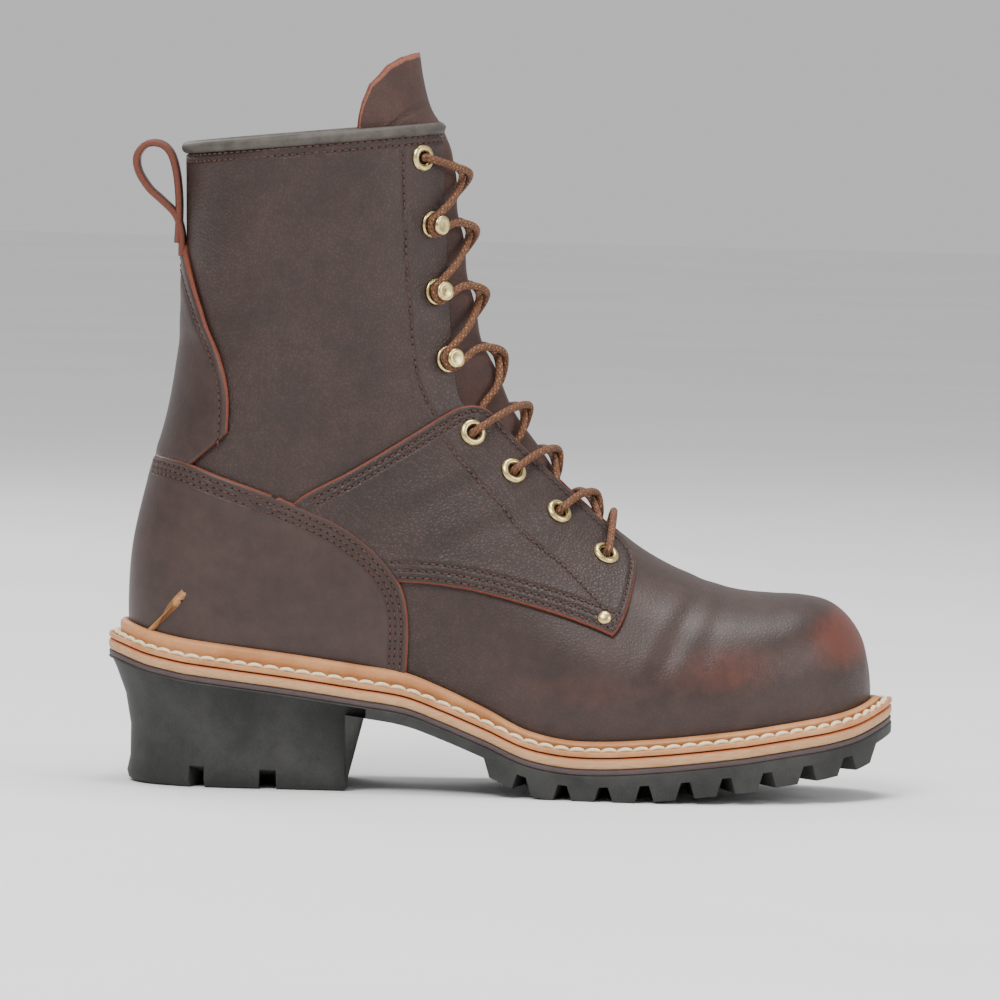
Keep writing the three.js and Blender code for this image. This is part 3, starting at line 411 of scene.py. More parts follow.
class Finish:
    # one material: nodes are added by node(), and done() joins colour, roughness and relief to the shader
    def __init__(self, name, **constants):
        self.material = bpy.data.materials.new(name)
        self.material.use_nodes = True
        self.tree = self.material.node_tree
        self.shader = self.tree.nodes["Principled BSDF"]
        for key, value in constants.items():
            self.shader.inputs[key].default_value = value
        self.place = self.node("ShaderNodeTexCoord", {}, {}, "Object")

    def feed(self, socket, value):
        if isinstance(value, Wire):
            self.tree.links.new(value.socket, socket)
        else:
            socket.default_value = value

    def node(self, kind, settings, values, out=0):
        node = self.tree.nodes.new(kind)
        for key, value in settings.items():
            if key == "stops":
                ramp = node.color_ramp
                while len(ramp.elements) < len(value):
                    ramp.elements.new(0.5)
                for element, (position, colour) in zip(ramp.elements, value):
                    element.position = position
                    element.color = colour
            else:
                setattr(node, key, value)
        for key, value in values.items():
            self.feed(node.inputs[key], value)
        return Wire(self, node.outputs[out])

    def noise(self, size, detail=3.0, rough=0.5, place=None):
        # clouds of a given size in millimetres, 0 to 1
        return self.node("ShaderNodeTexNoise", {}, {"Vector": place or self.place, "Scale": 1000 / size,
                                                    "Detail": detail, "Roughness": rough}, "Fac")

    def cells(self, size, feature="DISTANCE_TO_EDGE", place=None):
        return self.node("ShaderNodeTexVoronoi", {"feature": feature},
                         {"Vector": place or self.place, "Scale": 1000 / size}, "Distance")

    def stretched(self, sizes, turn=(0, 0, 0)):
        return self.node("ShaderNodeMapping", {}, {"Vector": self.place, "Rotation": turn, "Scale": sizes})

    def warped(self, size, amount):
        # the place, pushed about by clouds, so that cells lose their straight edges
        push = self.node("ShaderNodeTexNoise", {}, {"Vector": self.place, "Scale": 1000 / size}, "Color")
        low = self.node("ShaderNodeVectorMath", {"operation": "SUBTRACT"}, {0: push, 1: (0.5, 0.5, 0.5)})
        scaled = self.node("ShaderNodeVectorMath", {"operation": "SCALE"}, {0: low, "Scale": amount / 1000})
        return self.node("ShaderNodeVectorMath", {"operation": "ADD"}, {0: self.place, 1: scaled})

    def value(self, name):
        # a number that the mesh carries at its points
        return self.node("ShaderNodeAttribute", {"attribute_name": name}, {}, "Fac")

    def ramp(self, wire, low, high):
        return self.node("ShaderNodeMapRange", {"interpolation_type": "SMOOTHSTEP"},
                         {"Value": wire, "From Min": low, "From Max": high})

    def blend(self, first, second, share):
        return self.node("ShaderNodeMix", {"data_type": "RGBA"}, {0: share, 6: first, 7: second}, 2)

    def done(self, colour, roughness, height=None):
        # height is the relief in millimetres
        self.feed(self.shader.inputs["Base Color"], colour)
        self.feed(self.shader.inputs["Roughness"], roughness)
        if height is not None:
            bump = self.node("ShaderNodeBump", {}, {"Strength": 1.0, "Distance": 0.001, "Height": height})
            self.feed(self.shader.inputs["Normal"], bump)
        return self.material


def leatherFinish(name, tone):
    # oiled leather: pebbles and fine grain, sunk seams, red rub, and a raw edge where the sheet was cut;
    # painted shade darkens the grain's crevices and the sunk seams
    f = Finish(name, **{"Specular IOR Level": 0.42})
    edge = f.value("edge")
    seam = f.value("seam")
    grain = f.value("grain")
    rub = f.value("rub")
    clouds = f.noise(26, 4, 0.6)
    mottle = f.noise(5, 4, 0.6)
    fine = f.noise(0.7, 3, 0.6)
    pebble = f.ramp(f.cells(tone["pebble"], place=f.warped(2.6, 1.6)), 0.0, 0.32)
    wrinkle = f.noise(3.2, 3, 0.55, f.stretched((1.0, 1.0, 2.4), (0, 0.5, 0)))
    sunk = 1 - f.ramp(seam, 0.2, 1.5)
    colour = f.blend(tone["dark"], tone["mid"], f.ramp(clouds * 0.65 + mottle * 0.35, 0.3, 0.72))
    # painted shade: the crease colour darkens the crevices between the grain's pebbles
    colour = f.blend(tone["creaseShade"], colour, 1 - (1 - pebble) * grain * 0.6)
    colour = f.blend(colour, tone["red"], f.ramp(rub * (0.55 + mottle * 0.9), 0.25, 0.95) * 0.72)
    # painted shade along the sunk seams
    colour = f.blend(colour, tone["creaseShade"], sunk * 0.35)
    fibres = f.noise(0.9, 3, 0.7)
    cut = 1 - f.ramp(edge + (mottle - 0.5) * 0.5, tone["cut"] * 0.75, tone["cut"] * 1.15)
    colour = f.blend(colour, f.blend(tone["rawDark"], tone["raw"], fibres), cut)
    roughness = (tone["rough"] + (clouds - 0.5) * 0.16 + (1 - pebble) * grain * 0.12
                 + cut * 0.25 - rub * 0.04)
    height = pebble * grain * 0.11 + wrinkle * grain * 0.12 + fine * 0.028 + mottle * 0.05 - sunk * 0.28
    return f.done(colour, roughness, height + cut * (fibres - 0.5) * 0.12)


# crease colour: painted shade for the grain's crevices and the sunk seams
bootLeather = {
    "dark": ink(50, 36, 32), "mid": ink(68, 50, 45), "creaseShade": ink(32, 22, 20), "red": ink(104, 54, 42),
    "raw": ink(138, 72, 50), "rawDark": ink(84, 42, 32), "rough": 0.44, "pebble": 1.5, "cut": 0.75,
}
tongueLeather = dict(bootLeather, dark=ink(60, 38, 32), mid=ink(80, 52, 44), creaseShade=ink(40, 24, 21),
                     raw=ink(160, 104, 82), rough=0.6, pebble=1.1, cut=1.0)
strapLeather = dict(bootLeather, dark=ink(60, 40, 34), mid=ink(78, 52, 45), raw=ink(124, 68, 50), cut=1.0)
leather = leatherFinish("bootLeather", bootLeather)
tongueSkin = leatherFinish("tongueLeather", tongueLeather)
strapSkin = leatherFinish("strapLeather", strapLeather)


def rawFinish():
    # the cut edge of the hide: orange brown fibres
    f = Finish("rawEdge", **{"Specular IOR Level": 0.25})
    fibres = f.noise(0.8, 4, 0.7)
    colour = f.blend(ink(80, 42, 32), ink(130, 70, 50), f.ramp(fibres * 0.7 + f.noise(4) * 0.3, 0.3, 0.7))
    return f.done(colour, 0.8, fibres * 0.12)


def liningFinish():
    # the flesh side of the upper: napped tan leather
    f = Finish("lining", **{"Specular IOR Level": 0.2})
    nap = f.noise(0.9, 5, 0.7)
    colour = f.blend(ink(150, 104, 66), ink(186, 138, 94), f.ramp(f.noise(14, 4) * 0.6 + nap * 0.4, 0.3,
                                                                  0.7))
    return f.done(colour, 0.85, nap * 0.12)


def bindingFinish():
    # soft padded collar leather, grey brown, with cross wrinkles
    f = Finish("collarBinding", **{"Specular IOR Level": 0.35})
    fine = f.noise(0.8, 3, 0.6)
    soft = f.noise(6, 3, 0.5)
    colour = f.blend(ink(62, 57, 53), ink(88, 82, 76), f.ramp(soft * 0.7 + fine * 0.3, 0.3, 0.7))
    return f.done(colour, 0.56 + (soft - 0.5) * 0.12, fine * 0.05 + soft * 0.25)


def weltFinish():
    # smooth waxed tan leather
    f = Finish("weltLeather", **{"Specular IOR Level": 0.4})
    fine = f.noise(0.6, 3, 0.6)
    soft = f.noise(16, 4, 0.6)
    colour = f.blend(ink(176, 116, 70), ink(205, 146, 98), f.ramp(soft * 0.75 + fine * 0.25, 0.3, 0.7))
    return f.done(colour, 0.5 + (soft - 0.5) * 0.15, fine * 0.04)


def layeredFinish(name, light, dark, line, roughness):
    # the trimmed edge of a sole layer: thin lines along it, with ground-in marks
    f = Finish(name, **{"Specular IOR Level": 0.35})
    along = f.value("level")
    marks = f.noise(1.1, 4, 0.65, f.stretched((0.25, 0.25, 2.2)))
    layers = f.node("ShaderNodeTexWave", {"bands_direction": "Z"},
                    {"Vector": f.node("ShaderNodeCombineXYZ", {}, {"Z": along + marks * 0.25}),
                     "Scale": 0.9,
                     "Distortion": 0.6}, "Fac")
    colour = f.blend(dark, light, f.ramp(marks * 0.6 + layers * 0.25 + f.noise(9) * 0.25, 0.25, 0.75))
    colour = f.blend(colour, line, 1 - f.ramp(along, 0.25, 0.7))
    return f.done(colour, roughness + (marks - 0.5) * 0.2, marks * 0.09 + layers * 0.04)


def rubberFinish():
    # moulded black rubber, dull with a dusty bloom
    f = Finish("soleRubber", **{"Specular IOR Level": 0.35})
    fine = f.noise(0.5, 3, 0.6)
    bloom = f.noise(18, 4, 0.6)
    colour = f.blend(ink(34, 34, 33), ink(58, 58, 55), f.ramp(bloom * 0.7 + fine * 0.3, 0.35, 0.7))
    return f.done(colour, 0.62 + (bloom - 0.5) * 0.2, fine * 0.05 + f.noise(3) * 0.05)


def brassFinish(name, light, dark, rough):
    # lacquered antique brass with darker hollows
    f = Finish(name, Metallic=1.0)
    stain = f.noise(2.2, 4, 0.6)
    fine = f.noise(0.5, 3, 0.6)
    colour = f.blend(dark, light, f.ramp(stain * 0.8 + fine * 0.2, 0.25, 0.6))
    return f.done(colour, rough + (stain - 0.5) * 0.18, fine * 0.012)


def plainFinish(name, first, second, size, roughness, relief):
    # two close colours in clouds, with a little relief
    f = Finish(name, **{"Specular IOR Level": 0.3})
    clouds = f.noise(size, 4, 0.6)
    return f.done(f.blend(first, second, f.ramp(clouds, 0.35, 0.65)), roughness, clouds * relief)


def braidFinish():
    # round braid: two sets of slanting strands worked out from the lace's own map, with painted shade in
    # the grooves between strands and tan flecks
    f = Finish("laceBraid", **{"Specular IOR Level": 0.25})
    both = f.node("ShaderNodeUVMap", {}, {}, "UV")
    split = f.node("ShaderNodeSeparateXYZ", {}, {0: both}, "X")
    run = split
    turn = Wire(f, split.socket.node.outputs["Y"])
    right = (run * 1.0 + turn).step("FRACT", run * 1.0 + turn)
    left = (run * 1.0 - turn).step("FRACT", run * 1.0 - turn)
    roundRight = 1 - (right * 2 - 1) * (right * 2 - 1)
    roundLeft = 1 - (left * 2 - 1) * (left * 2 - 1)
    over = roundRight.step("MAXIMUM", roundRight, roundLeft)
    fibre = f.noise(0.35, 3, 0.6)
    # painted shade: darker in the grooves between strands, lighter on their crests
    colour = f.blend(ink(58, 38, 28), ink(104, 70, 50), f.ramp(over * 0.7 + fibre * 0.3, 0.25, 0.85))
    fleck = f.ramp(roundRight.step("MINIMUM", roundRight, 1 - roundLeft), 0.35, 0.7)
    colour = f.blend(colour, ink(168, 118, 84), fleck * f.ramp(f.noise(1.6, 2), 0.42, 0.6))
    return f.done(colour, 0.75, over * 0.28 + fibre * 0.06)


rawEdge = rawFinish()
lining = liningFinish()
bindingSkin = bindingFinish()
weltSkin = weltFinish()
midsoleEdge = layeredFinish("midsoleEdge", ink(206, 164, 120), ink(160, 112, 76), ink(196, 112, 70), 0.6)
slipEdge = layeredFinish("slipSoleEdge", ink(88, 74, 72), ink(60, 48, 48), ink(46, 36, 36), 0.62)
rubber = rubberFinish()
brass = brassFinish("antiqueBrass", ink(226, 206, 148), ink(150, 124, 70), 0.3)
# near-black material: painted shade inside the eyelet holes and the stitch holes
holeShade = plainFinish("paintedHoleShade", ink(26, 17, 14), ink(40, 26, 20), 2, 0.9, 0.02)
threadBrown = plainFinish("brownThread", ink(66, 42, 36), ink(96, 64, 54), 0.8, 0.7, 0.05)
threadIvory = plainFinish("ivoryThread", ink(226, 208, 166), ink(246, 234, 202), 0.7, 0.7, 0.08)
insoleSkin = plainFinish("insoleLeather", ink(140, 100, 66), ink(172, 130, 90), 8, 0.8, 0.06)
braid = braidFinish()


print("upper")

# Side-view paths in millimetres on the last, from the toe side up or back
paths = {
    "facing": [(45.5, 100), (41, 98.8), (34, 103.6), (24, 112.5), (12.5, 122.7), (2.6, 132), (-9.5, 144.8),
               (-18.5, 151.5), (-21.5, 166), (-23, 179.6), (-24.1, 195.2), (-25.8, 218.6), (-27.1, 238.1),
               (-28.3, 262)],
    "counterTop": [(-137.7, 128.1), (-124, 125.8), (-110.2, 121.1), (-95.7, 116.3), (-80.7, 110.8),
                   (-64.9, 103.8),
                   (-53, 95.8), (-44.2, 87.1), (-38.9, 77.8), (-36.7, 65), (-37, 46.6), (-37.2, 40)],
    "quarterBottom": [(41.9, 63), (33.6, 66.3), (21.8, 70.3), (6.1, 74.7), (-9.7, 78.6), (-25.3, 81),
                      (-37.8, 81.8),
                      (-60, 82)],
    "quarterFront": [(41.9, 63), (44.5, 66.2), (47.5, 73.3), (49.6, 82.3), (50.2, 89), (48.5, 94.2)],
    "quarterFacing": [(48.5, 94.2), (44.5, 98.8), (36.6, 104.9), (28.6, 111.8), (20.6, 119), (14.6, 124.7),
                      (4.7, 133.9), (-6.6, 146), (-11.3, 149.1), (-15.5, 149.8)],
    "quarterRear": [(-60, 82), (-74, 92), (-84, 104), (-80.7, 113), (-61.5, 124), (-42.2, 135.8),
                    (-26.8, 145.5),
                    (-20.7, 148.8), (-15.5, 149.8)],
    "backstay": [(-109.4, 117), (-108.2, 135.1), (-107.8, 150.7), (-110, 162.4), (-115.4, 175.9),
                 (-120.4, 189.5),
                 (-125.1, 204.3), (-127.6, 214)],
    "shaftStay": [(-43.8, 255), (-42.5, 230.8), (-41.3, 211.2), (-39.6, 191.7), (-38.1, 176.1),
                  (-35.4, 160.6),
                  (-31.7, 150.9), (-28.4, 145.9)],
    "quarterStay": [(-25.7, 137), (-20, 129.5), (-13, 122), (-3, 111.5), (5.5, 101.5), (16, 93), (23, 87.5),
                    (34.5, 76.5), (38.5, 72)],
}
paths = {key: curve(points, 60) for key, points in paths.items()}

# Soft creases of the worn-in leather: side view place, length, direction in degrees, depth, half width
creases = [
    (66, 62, 26, 62, 0.55, 4.0), (78, 58, 24, 70, 0.4, 4.0), (-62, 156, 34, 20, 0.6, 5.0),
    (-52, 170, 30, 12, 0.5, 5.0), (-100, 168, 30, -12, 0.6, 5.5), (-96, 182, 26, -8, 0.45, 5.0),
    (-30, 112, 30, 28, 0.45, 4.0), (-12, 100, 26, 24, 0.4, 4.0), (-70, 205, 40, 6, 0.4, 7.0),
]


def creaseDepth(x, z):
    # troughs with a low ridge beside them, along short lines in the side view
    depth = np.zeros(np.shape(x))
    for cx, cz, reach, turn, deep, half in creases:
        ca, sa = np.cos(np.radians(turn)), np.sin(np.radians(turn))
        along = (x - cx) * ca + (z - cz) * sa
        off = (z - cz) * ca - (x - cx) * sa + 0.002 * along**2
        fade = np.exp(-(along / reach) ** 4)
        depth += deep * fade * (np.exp(-(off / half) ** 2)
                                - 0.6 * np.exp(-((off - 1.6 * half) / half) ** 2))
    return depth


# How every hide piece ends at a cut edge and swells beside a seam, in millimetres
hide = {"edgeShare": 0.45, "bevel": 1.3, "skive": 1.6, "quilt": 0.22, "quiltAt": 1.6, "quiltWidth": 1.2,
        "clear": 20.0}


def leatherSheet(name, halves, lift, thick, edges, seams, look, replaces, grain, rub=None):
    # one hide piece: grids of section and v carried onto the last at a height, thinned towards its cut
    # edges, creased, welded along its middle and given its thickness inwards
    points = []
    faces = []
    data = {"edge": [], "seam": [], "grain": [], "rub": []}
    count = 0
    for s, v in halves:
        base = formPoint(s, v)
        x, z = base[..., 0], base[..., 2]
        edge = distanceTo(x, z, edges) if edges else np.full(x.shape, hide["clear"])
        seam = distanceTo(x, z, seams) if seams else np.full(x.shape, hide["clear"])
        full = np.full(x.shape, lift)
        if edges:
            rounded = np.sqrt(smooth(edge / hide["bevel"]))
            full = lift + thick * (hide["edgeShare"] + (1 - hide["edgeShare"]) * rounded)
        if lift and name != "heel_counter":
            full = full - hide["skive"] * underCounter(x, z)
        quilt = hide["quilt"] * np.exp(-((seam - hide["quiltAt"]) / hide["quiltWidth"]) ** 2)
        place = base + formNormal(s, v) * (full - creaseDepth(x, z) + quilt)[..., None]
        quads = gridFaces(*x.shape, start=count)
        a, b, c = (place.reshape(-1, 3)[quads[:, k] - count] for k in range(3))
        outward = formNormal(s, v).reshape(-1, 3)[quads[:, 0] - count]
        if (np.cross(b - a, c - a) * outward).sum() < 0:
            quads = quads[:, ::-1]
        points.append(place.reshape(-1, 3))
        faces.append(quads)
        data["edge"].append(edge.ravel())
        data["seam"].append(seam.ravel())
        data["grain"].append(grain(x, z).ravel())
        data["rub"].append((rub(x, z) if rub else np.zeros(x.shape)).ravel())
        count += x.size
    piece = putMesh(name, np.concatenate(points), np.concatenate(faces), [look, lining, rawEdge],
                    attributes={key: np.concatenate(value) for key, value in data.items()})
    weld(piece)
    wall = piece.modifiers.new("thickness", "SOLIDIFY")
    wall.thickness = thick / 1000
    wall.offset = -1
    wall.material_offset = 1
    wall.material_offset_rim = 2
    if replaces:
        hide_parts(*replaces)
    return piece


def underCounter(x, z):
    # 0 in the open, 1 well inside the counter's outline, where the piece below it is skived thin
    order = np.argsort(paths["counterTop"][:, 0])
    top = np.interp(x, paths["counterTop"][order, 0], paths["counterTop"][order, 1], right=0)
    return smooth((top - z) / 2.5)


def between(s, first, second, count):
    # v grid between two limits that vary with the section, closer together near both
    t = np.linspace(0, 1, count)
    t = 0.5 * t + 0.5 * smooth(t)
    return s[:, None] + 0 * t[None, :], mix(first[:, None], second[:, None], t[None, :])


def limitOf(path, side, s):
    # v of a side-view path as a function of the section
    at, v = locate(path[:, 0], path[:, 1], side)
    order = np.argsort(at)
    return np.interp(s, at[order], v[order])


def plainGrain(x, z):
    # more pebble on the shaft, a smooth toe
    return mix(0.35, 0.75, smooth((20 - x) / 60))


def toeRub(x, z):
    # red brown rub over the toe cap and a faint one along the vamp
    toe = np.exp(-(((x - 134) / 16) ** 2 + ((z - 64) / 13) ** 2)) * 1.1
    side = 0.6 * np.exp(-(((x - 88) / 26) ** 2 + ((z - 52) / 12) ** 2))
    low = 0.45 * np.exp(-(((x - 30) / 40) ** 2 + ((z - 42) / 12) ** 2))
    return np.clip(toe + side + low, 0, 1)


# Vamp and shaft: both halves meet along the ridge up to the throat and along the back
sUpper = np.unique(np.concatenate([np.linspace(0, 1.5, 14) ** 1.0, np.linspace(1.5, 11.4, 90),
                                   np.linspace(11.4, 30.75, 190)]))
halves = []
for side in (-1, 1):
    limit = np.abs(limitOf(paths["facing"], side, sUpper))
    throatStart = locate(paths["facing"][:1, 0], paths["facing"][:1, 1], side)[0][0]
    limit = np.where(sUpper < throatStart, 0, limit)
    grow = smooth((sUpper - throatStart) / 0.5)
    halves.append(between(sUpper, side * limit * grow, side * np.ones(len(sUpper)), 80))
collarLine = np.array([(-128.0, 245.1), (-26.0, 255.6)])
leatherSheet("upper_leather", halves, 0.0, 2.2, [], [paths["shaftStay"], collarLine - (0, 1.0),
             collarLine - (0, 3.6)], leather, ["upper"], plainGrain, toeRub)

# Counter: wraps the heel, from the foot line and the back up to its curved top
sCounter = np.linspace(16.35, 26.98, 120)
halves = [between(sCounter, limitOf(paths["counterTop"], side, sCounter), side * np.ones(120), 60)
          for side in (-1, 1)]
counterRows = [shifted(paths["counterTop"], -d) for d in (2.7, 5.0, 7.0)]
leatherSheet("heel_counter", halves, 0.3, 2.0, [paths["counterTop"]], counterRows, leather, ["counter"],
             lambda x, z: np.full(np.shape(x), 0.16), toeRub)

# Backstay: a tapering strip up the back, under the counter's top
sStay = np.linspace(25.6, 30.2, 70)
halves = [between(sStay, limitOf(paths["backstay"], side, sStay), side * np.ones(70),
                  24) for side in (-1, 1)]
stayRows = [shifted(paths["backstay"], 3.0)]
leatherSheet("backstay_strip", halves, 0.3, 1.9, [paths["backstay"]], stayRows, leather, ["backstay"],
             lambda x, z: np.full(np.shape(x), 0.3))


def patch(bottom, top, front, rear, side, rows, columns):
    # sections and v inside four side-view paths: both rulings added, less the corners
    def on(path, count):
        path = even(path, count)
        return np.stack(locate(path[:, 0], path[:, 1], side), axis=1)
    low, high = on(bottom, columns), on(top, columns)
    first, final = on(front, rows), on(rear, rows)
    a = np.linspace(0, 1, rows)[:, None, None]
    b = np.linspace(0, 1, columns)[None, :, None]
    ruled = low[None] * (1 - a) + high[None] * a + first[:, None] * (1 - b) + final[:, None] * b
    corners = (low[0] * (1 - a) * (1 - b) + low[-1] * (1 - a) * b
               + high[0] * a * (1 - b) + high[-1] * a * b)
    grid = ruled - corners
    return grid[..., 0], grid[..., 1]


# Eyestay quarters, with the pebbled hide
quarterRows = [shifted(paths["quarterBottom"], -d) for d in (2.0, 4.7, 7.6)]
quarterRows += [shifted(paths["quarterRear"][20:], -d) for d in (3.0, 5.5)]
quarterRows += [shifted(np.concatenate([paths["quarterFront"], paths["quarterFacing"][1:]]), 2.4)]
quarterRows += [paths["quarterStay"]]
quarterEdges = [paths[key] for key in ("quarterBottom", "quarterFront", "quarterFacing", "quarterRear")]
for side, word in ((-1, "lateral"), (1, "medial")):
    grid = patch(paths["quarterBottom"], paths["quarterFacing"], paths["quarterFront"],
                 paths["quarterRear"], side,
                 90, 120)
    leatherSheet("eyestay_" + word, [grid], 0.3, 2.0, quarterEdges, quarterRows, leather,
                 ["quarter_" + word], lambda x, z: np.full(np.shape(x), 1.0))


def collarBinding(sizes):
    # a rolled profile carried along the rim: out over the edge, over the top and down the inside
    v = np.concatenate([np.linspace(-1, 0, 241), np.linspace(0, 1, 241)[1:]])
    limit = abs(limitOf(paths["facing"], -1, np.array([30.95]))[0])
    sides = []
    for side in (-1, 1):
        run = side * np.linspace(limit * 1.02, 1, 140)
        s = np.full(140, float(collarRow))
        base = formPoint(s, run)
        out = formNormal(s, run)
        up = unit(formPoint(s + 0.02, run) - formPoint(s - 0.02, run))
        turn = np.linspace(-0.5 * np.pi, 1.5 * np.pi, 25)[:-1]
        profileOut = -0.7 + sizes["roll"] * np.cos(turn)
        profileUp = -sizes["height"] / 2 + sizes["height"] / 2 * np.sin(turn) - np.where(
            np.cos(turn) < -0.2, sizes["lining"] * np.clip(-np.sin(turn), 0, 1), 0)
        ends = np.clip(np.minimum(np.arange(140), 5) / 4, 0.05, 1) ** 0.5
        grid = (base[:, None] + out[:, None] * (profileOut * ends[:, None])[..., None]
                + up[:, None] * ((profileUp + sizes["height"] / 2) * ends[:, None]
                                 - sizes["height"] / 2)[..., None])
        sides.append(grid if side < 0 else grid[::-1])
    grid = np.concatenate([sides[0], sides[1][1:]])
    rows, columns = grid.shape[:2]
    faces = gridFaces(rows, columns, wrapColumns=True).tolist()
    faces += [list(range(columns)), [(rows - 1) * columns + k for k in range(columns)][::-1]]
    piece = putMesh("collar_roll", grid, faces, [bindingSkin])
    turnOut(piece)
    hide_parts("collar_binding")
    return piece


collarBinding({"roll": 2.5, "height": 4.8, "lining": 3.0})

# Tongue: from under the vamp up the throat, swelling between the facings, with a curled top
tongue = {
    "first": heelRow - 10.6, "footHalf": 25.0, "topHalf": 38.0, "bed": 4.7, "crown": 11.0, "thick": 2.2,
    "topShare": [0, .2, .43, .61, .8, .89, .95, 1], "topRow": [33.75, 33.72, 33.6, 33.35, 32.75, 32.1,
                                                               31.5, 30.9],
}


def tongueGrid(share, up):
    # share runs across from -1 to 1, up from 0 at the foot to 1 at the cut top, which is highest in front;
    # low down the sheet is as broad as its share in millimetres, at the top it wraps further round
    end = np.interp(np.abs(share), tongue["topShare"], tongue["topRow"])
    s = mix(tongue["first"], end, up)
    climb = np.clip((s - tongue["first"]) / (collarRow - tongue["first"]), 0, 1)
    half = mix(tongue["footHalf"], tongue["topHalf"], climb)
    swell = smooth(s - (heelRow - 9.2)) * (1 - smooth((s - collarRow + 2) / 2))
    swell = swell * smooth((tongue["crown"] - np.abs(share * half)) / tongue["crown"] + 0.35)
    lift = -tongue["bed"] + swell * (tongue["bed"] - 0.5) + 0.5 * np.sin(s * 2.1) * swell
    wrapped = share * 0.4
    return s, mix(vAt(s, sectionAt(s)["peak"] + share * half), wrapped, smooth((s - 28.5) / 3)), lift


share, up = np.meshgrid(np.linspace(-1, 1, 71), np.linspace(0, 1, 150), indexing="ij")
s, v, lift = tongueGrid(share, up)
place = formPoint(s, v) + formNormal(s, v) * lift[..., None]
edge = np.minimum((1 - up) * 150, (1 - np.abs(share)) * 36)
seamTongue = np.abs(up - 0.925 + 0.03 * share**2) * 150
tonguePiece = putMesh("tongue_leather", place, gridFaces(71, 150)[:, ::-1],
                      [tongueSkin, lining, rawEdge], attributes={
    "edge": edge, "seam": seamTongue, "grain": np.full(edge.shape, 0.5), "rub": np.full(edge.shape, 0.25)})
wall = tonguePiece.modifiers.new("thickness", "SOLIDIFY")
wall.thickness = tongue["thick"] / 1000
wall.offset = -1
wall.material_offset = 0
wall.material_offset_rim = 2
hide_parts("tongue")


def pullStrap(sizes):
    # a strap with rounded edges carried along a folded path at the back
    path = curve([(-128.6, 205), (-129, 214), (-131.5, 221), (-137, 226.5), (-142, 231), (-146.2, 237.5),
                  (-146.9, 243.5), (-143.5, 248), (-138, 248.3), (-134, 245), (-131.6, 238), (-130.3, 228),
                  (-130.1, 218), (-130.4, 210)], 150)
    d = unit(np.gradient(path, axis=0))
    across = np.stack([-d[:, 1], d[:, 0]], axis=1)
    turn = np.linspace(0, 2 * np.pi, 29)[:-1]
    squared = np.sign(np.cos(turn)) * np.abs(np.cos(turn)) ** 0.3
    y = sizes["width"] / 2 * squared
    t = sizes["thick"] / 2 * np.sign(np.sin(turn)) * np.abs(np.sin(turn)) ** 0.6
    grid = np.zeros((150, 28, 3))
    grid[..., 0] = path[:, None, 0] + across[:, None, 0] * t
    grid[..., 2] = path[:, None, 1] + across[:, None, 1] * t
    grid[..., 1] = y
    faces = gridFaces(150, 28, wrapColumns=True).tolist()
    faces += [list(range(28)), [149 * 28 + k for k in range(28)][::-1]]
    edge = np.broadcast_to((sizes["width"] / 2 - np.abs(y)) * 1.0, (150, 28)) + 0.35
    seam = np.broadcast_to(np.abs(np.abs(y) - sizes["width"] / 2 + 2.4), (150, 28))
    piece = putMesh("pull_strap", grid, faces, [strapSkin], attributes={
        "edge": edge, "seam": seam, "grain": np.full(edge.shape, 0.3), "rub": np.full(edge.shape, 0.2)})
    turnOut(piece)
    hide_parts("pull_loop")
    return piece


pullStrap({"width": 15.0, "thick": 3.0})


print("sole")

midsoleTop = lambda x: seat(x) - last["weltThick"] - last["seamGap"]
slipTop = lambda x: midsoleTop(x) - last["midsoleThick"] - last["seamGap"]
outsoleTop = lambda x: slipTop(x) - last["slipThick"] - last["seamGap"]
treadCeiling = lambda x: outsoleTop(x) - last["web"]
tread = lambda x: np.maximum(0, seat(x) - last["stack"])
around = len(outlineFoot)


def soleLayer(name, top, thick, skin, node, margin=8.4, round_=0.7):
    # a closed profile carried round the plan outline: flat faces, a rounded and slightly hollow edge
    at = np.linspace(0, around, 521)[:-1]
    turn = np.linspace(0, 1, 9)
    bulge = np.sqrt(np.maximum(0, 1 - (2 * turn - 1) ** 2)) - 1
    grows = np.concatenate([[-26, -8], margin + round_ * np.maximum(bulge, -0.9), [-8, -26]])
    downs = np.concatenate([[0, 0], turn * thick, [thick, thick]])
    outer = planCurve(margin, at)
    inner = planCurve(-26, at, 0)
    share = (grows + 26) / (margin + 26)
    xy = mix(inner[:, None], outer[:, None], share[None, :, None])
    z = top(xy[..., 0]) - downs[None]
    grid = np.concatenate([xy, z[..., None]], axis=-1)
    level = np.broadcast_to(downs, z.shape)
    piece = putMesh(name, grid, gridFaces(520, len(grows), wrapColumns=True, wrapRows=True), [skin],
                    attributes={"level": level})
    turnOut(piece)
    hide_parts(node)
    return piece


soleLayer("midsole_leather", midsoleTop, last["midsoleThick"] + 0.25, midsoleEdge, "midsole")
soleLayer("slip_sole_leather", slipTop, last["slipThick"] + 0.25, slipEdge, "slip_sole", 8.2)

# Storm welt: a flange with a sunk stitch groove and a rolled rib that leans on the upper
welt = {"ribHeight": 6.0, "ribThick": 3.4, "tuck": 7.0, "margin": 8.4, "groove": 5.6, "pitch": 6.2}


def ribTop(x):
    return seat(x) + welt["ribHeight"] * (0.62 + 0.5 * smooth((0.1 * last["length"] - x) / 60))


def leanAt(at, rise):
    # how far out from the foot line the last stands at a height above it
    base = closedCurve(outlineFoot, at)
    rimXY = planCurve(welt["margin"], at)
    out = unit(rimXY - base[:, :2])
    low = np.full(len(at), -3.0)
    high = np.full(len(at), 6.0)
    for _ in range(14):
        middle = (low + high) / 2
        x = base[:, 0] + out[:, 0] * middle
        y = base[:, 1] + out[:, 1] * middle
        s, v = locate(x, base[:, 2] + rise, np.where(y < 0, -1, 1))
        inside = (s > 1e-6) & (np.abs(v) < 0.9999) & (np.abs(y) < np.abs(formPoint(s, v)[:, 1]))
        low = np.where(inside, middle, low)
        high = np.where(inside, high, middle)
    return low


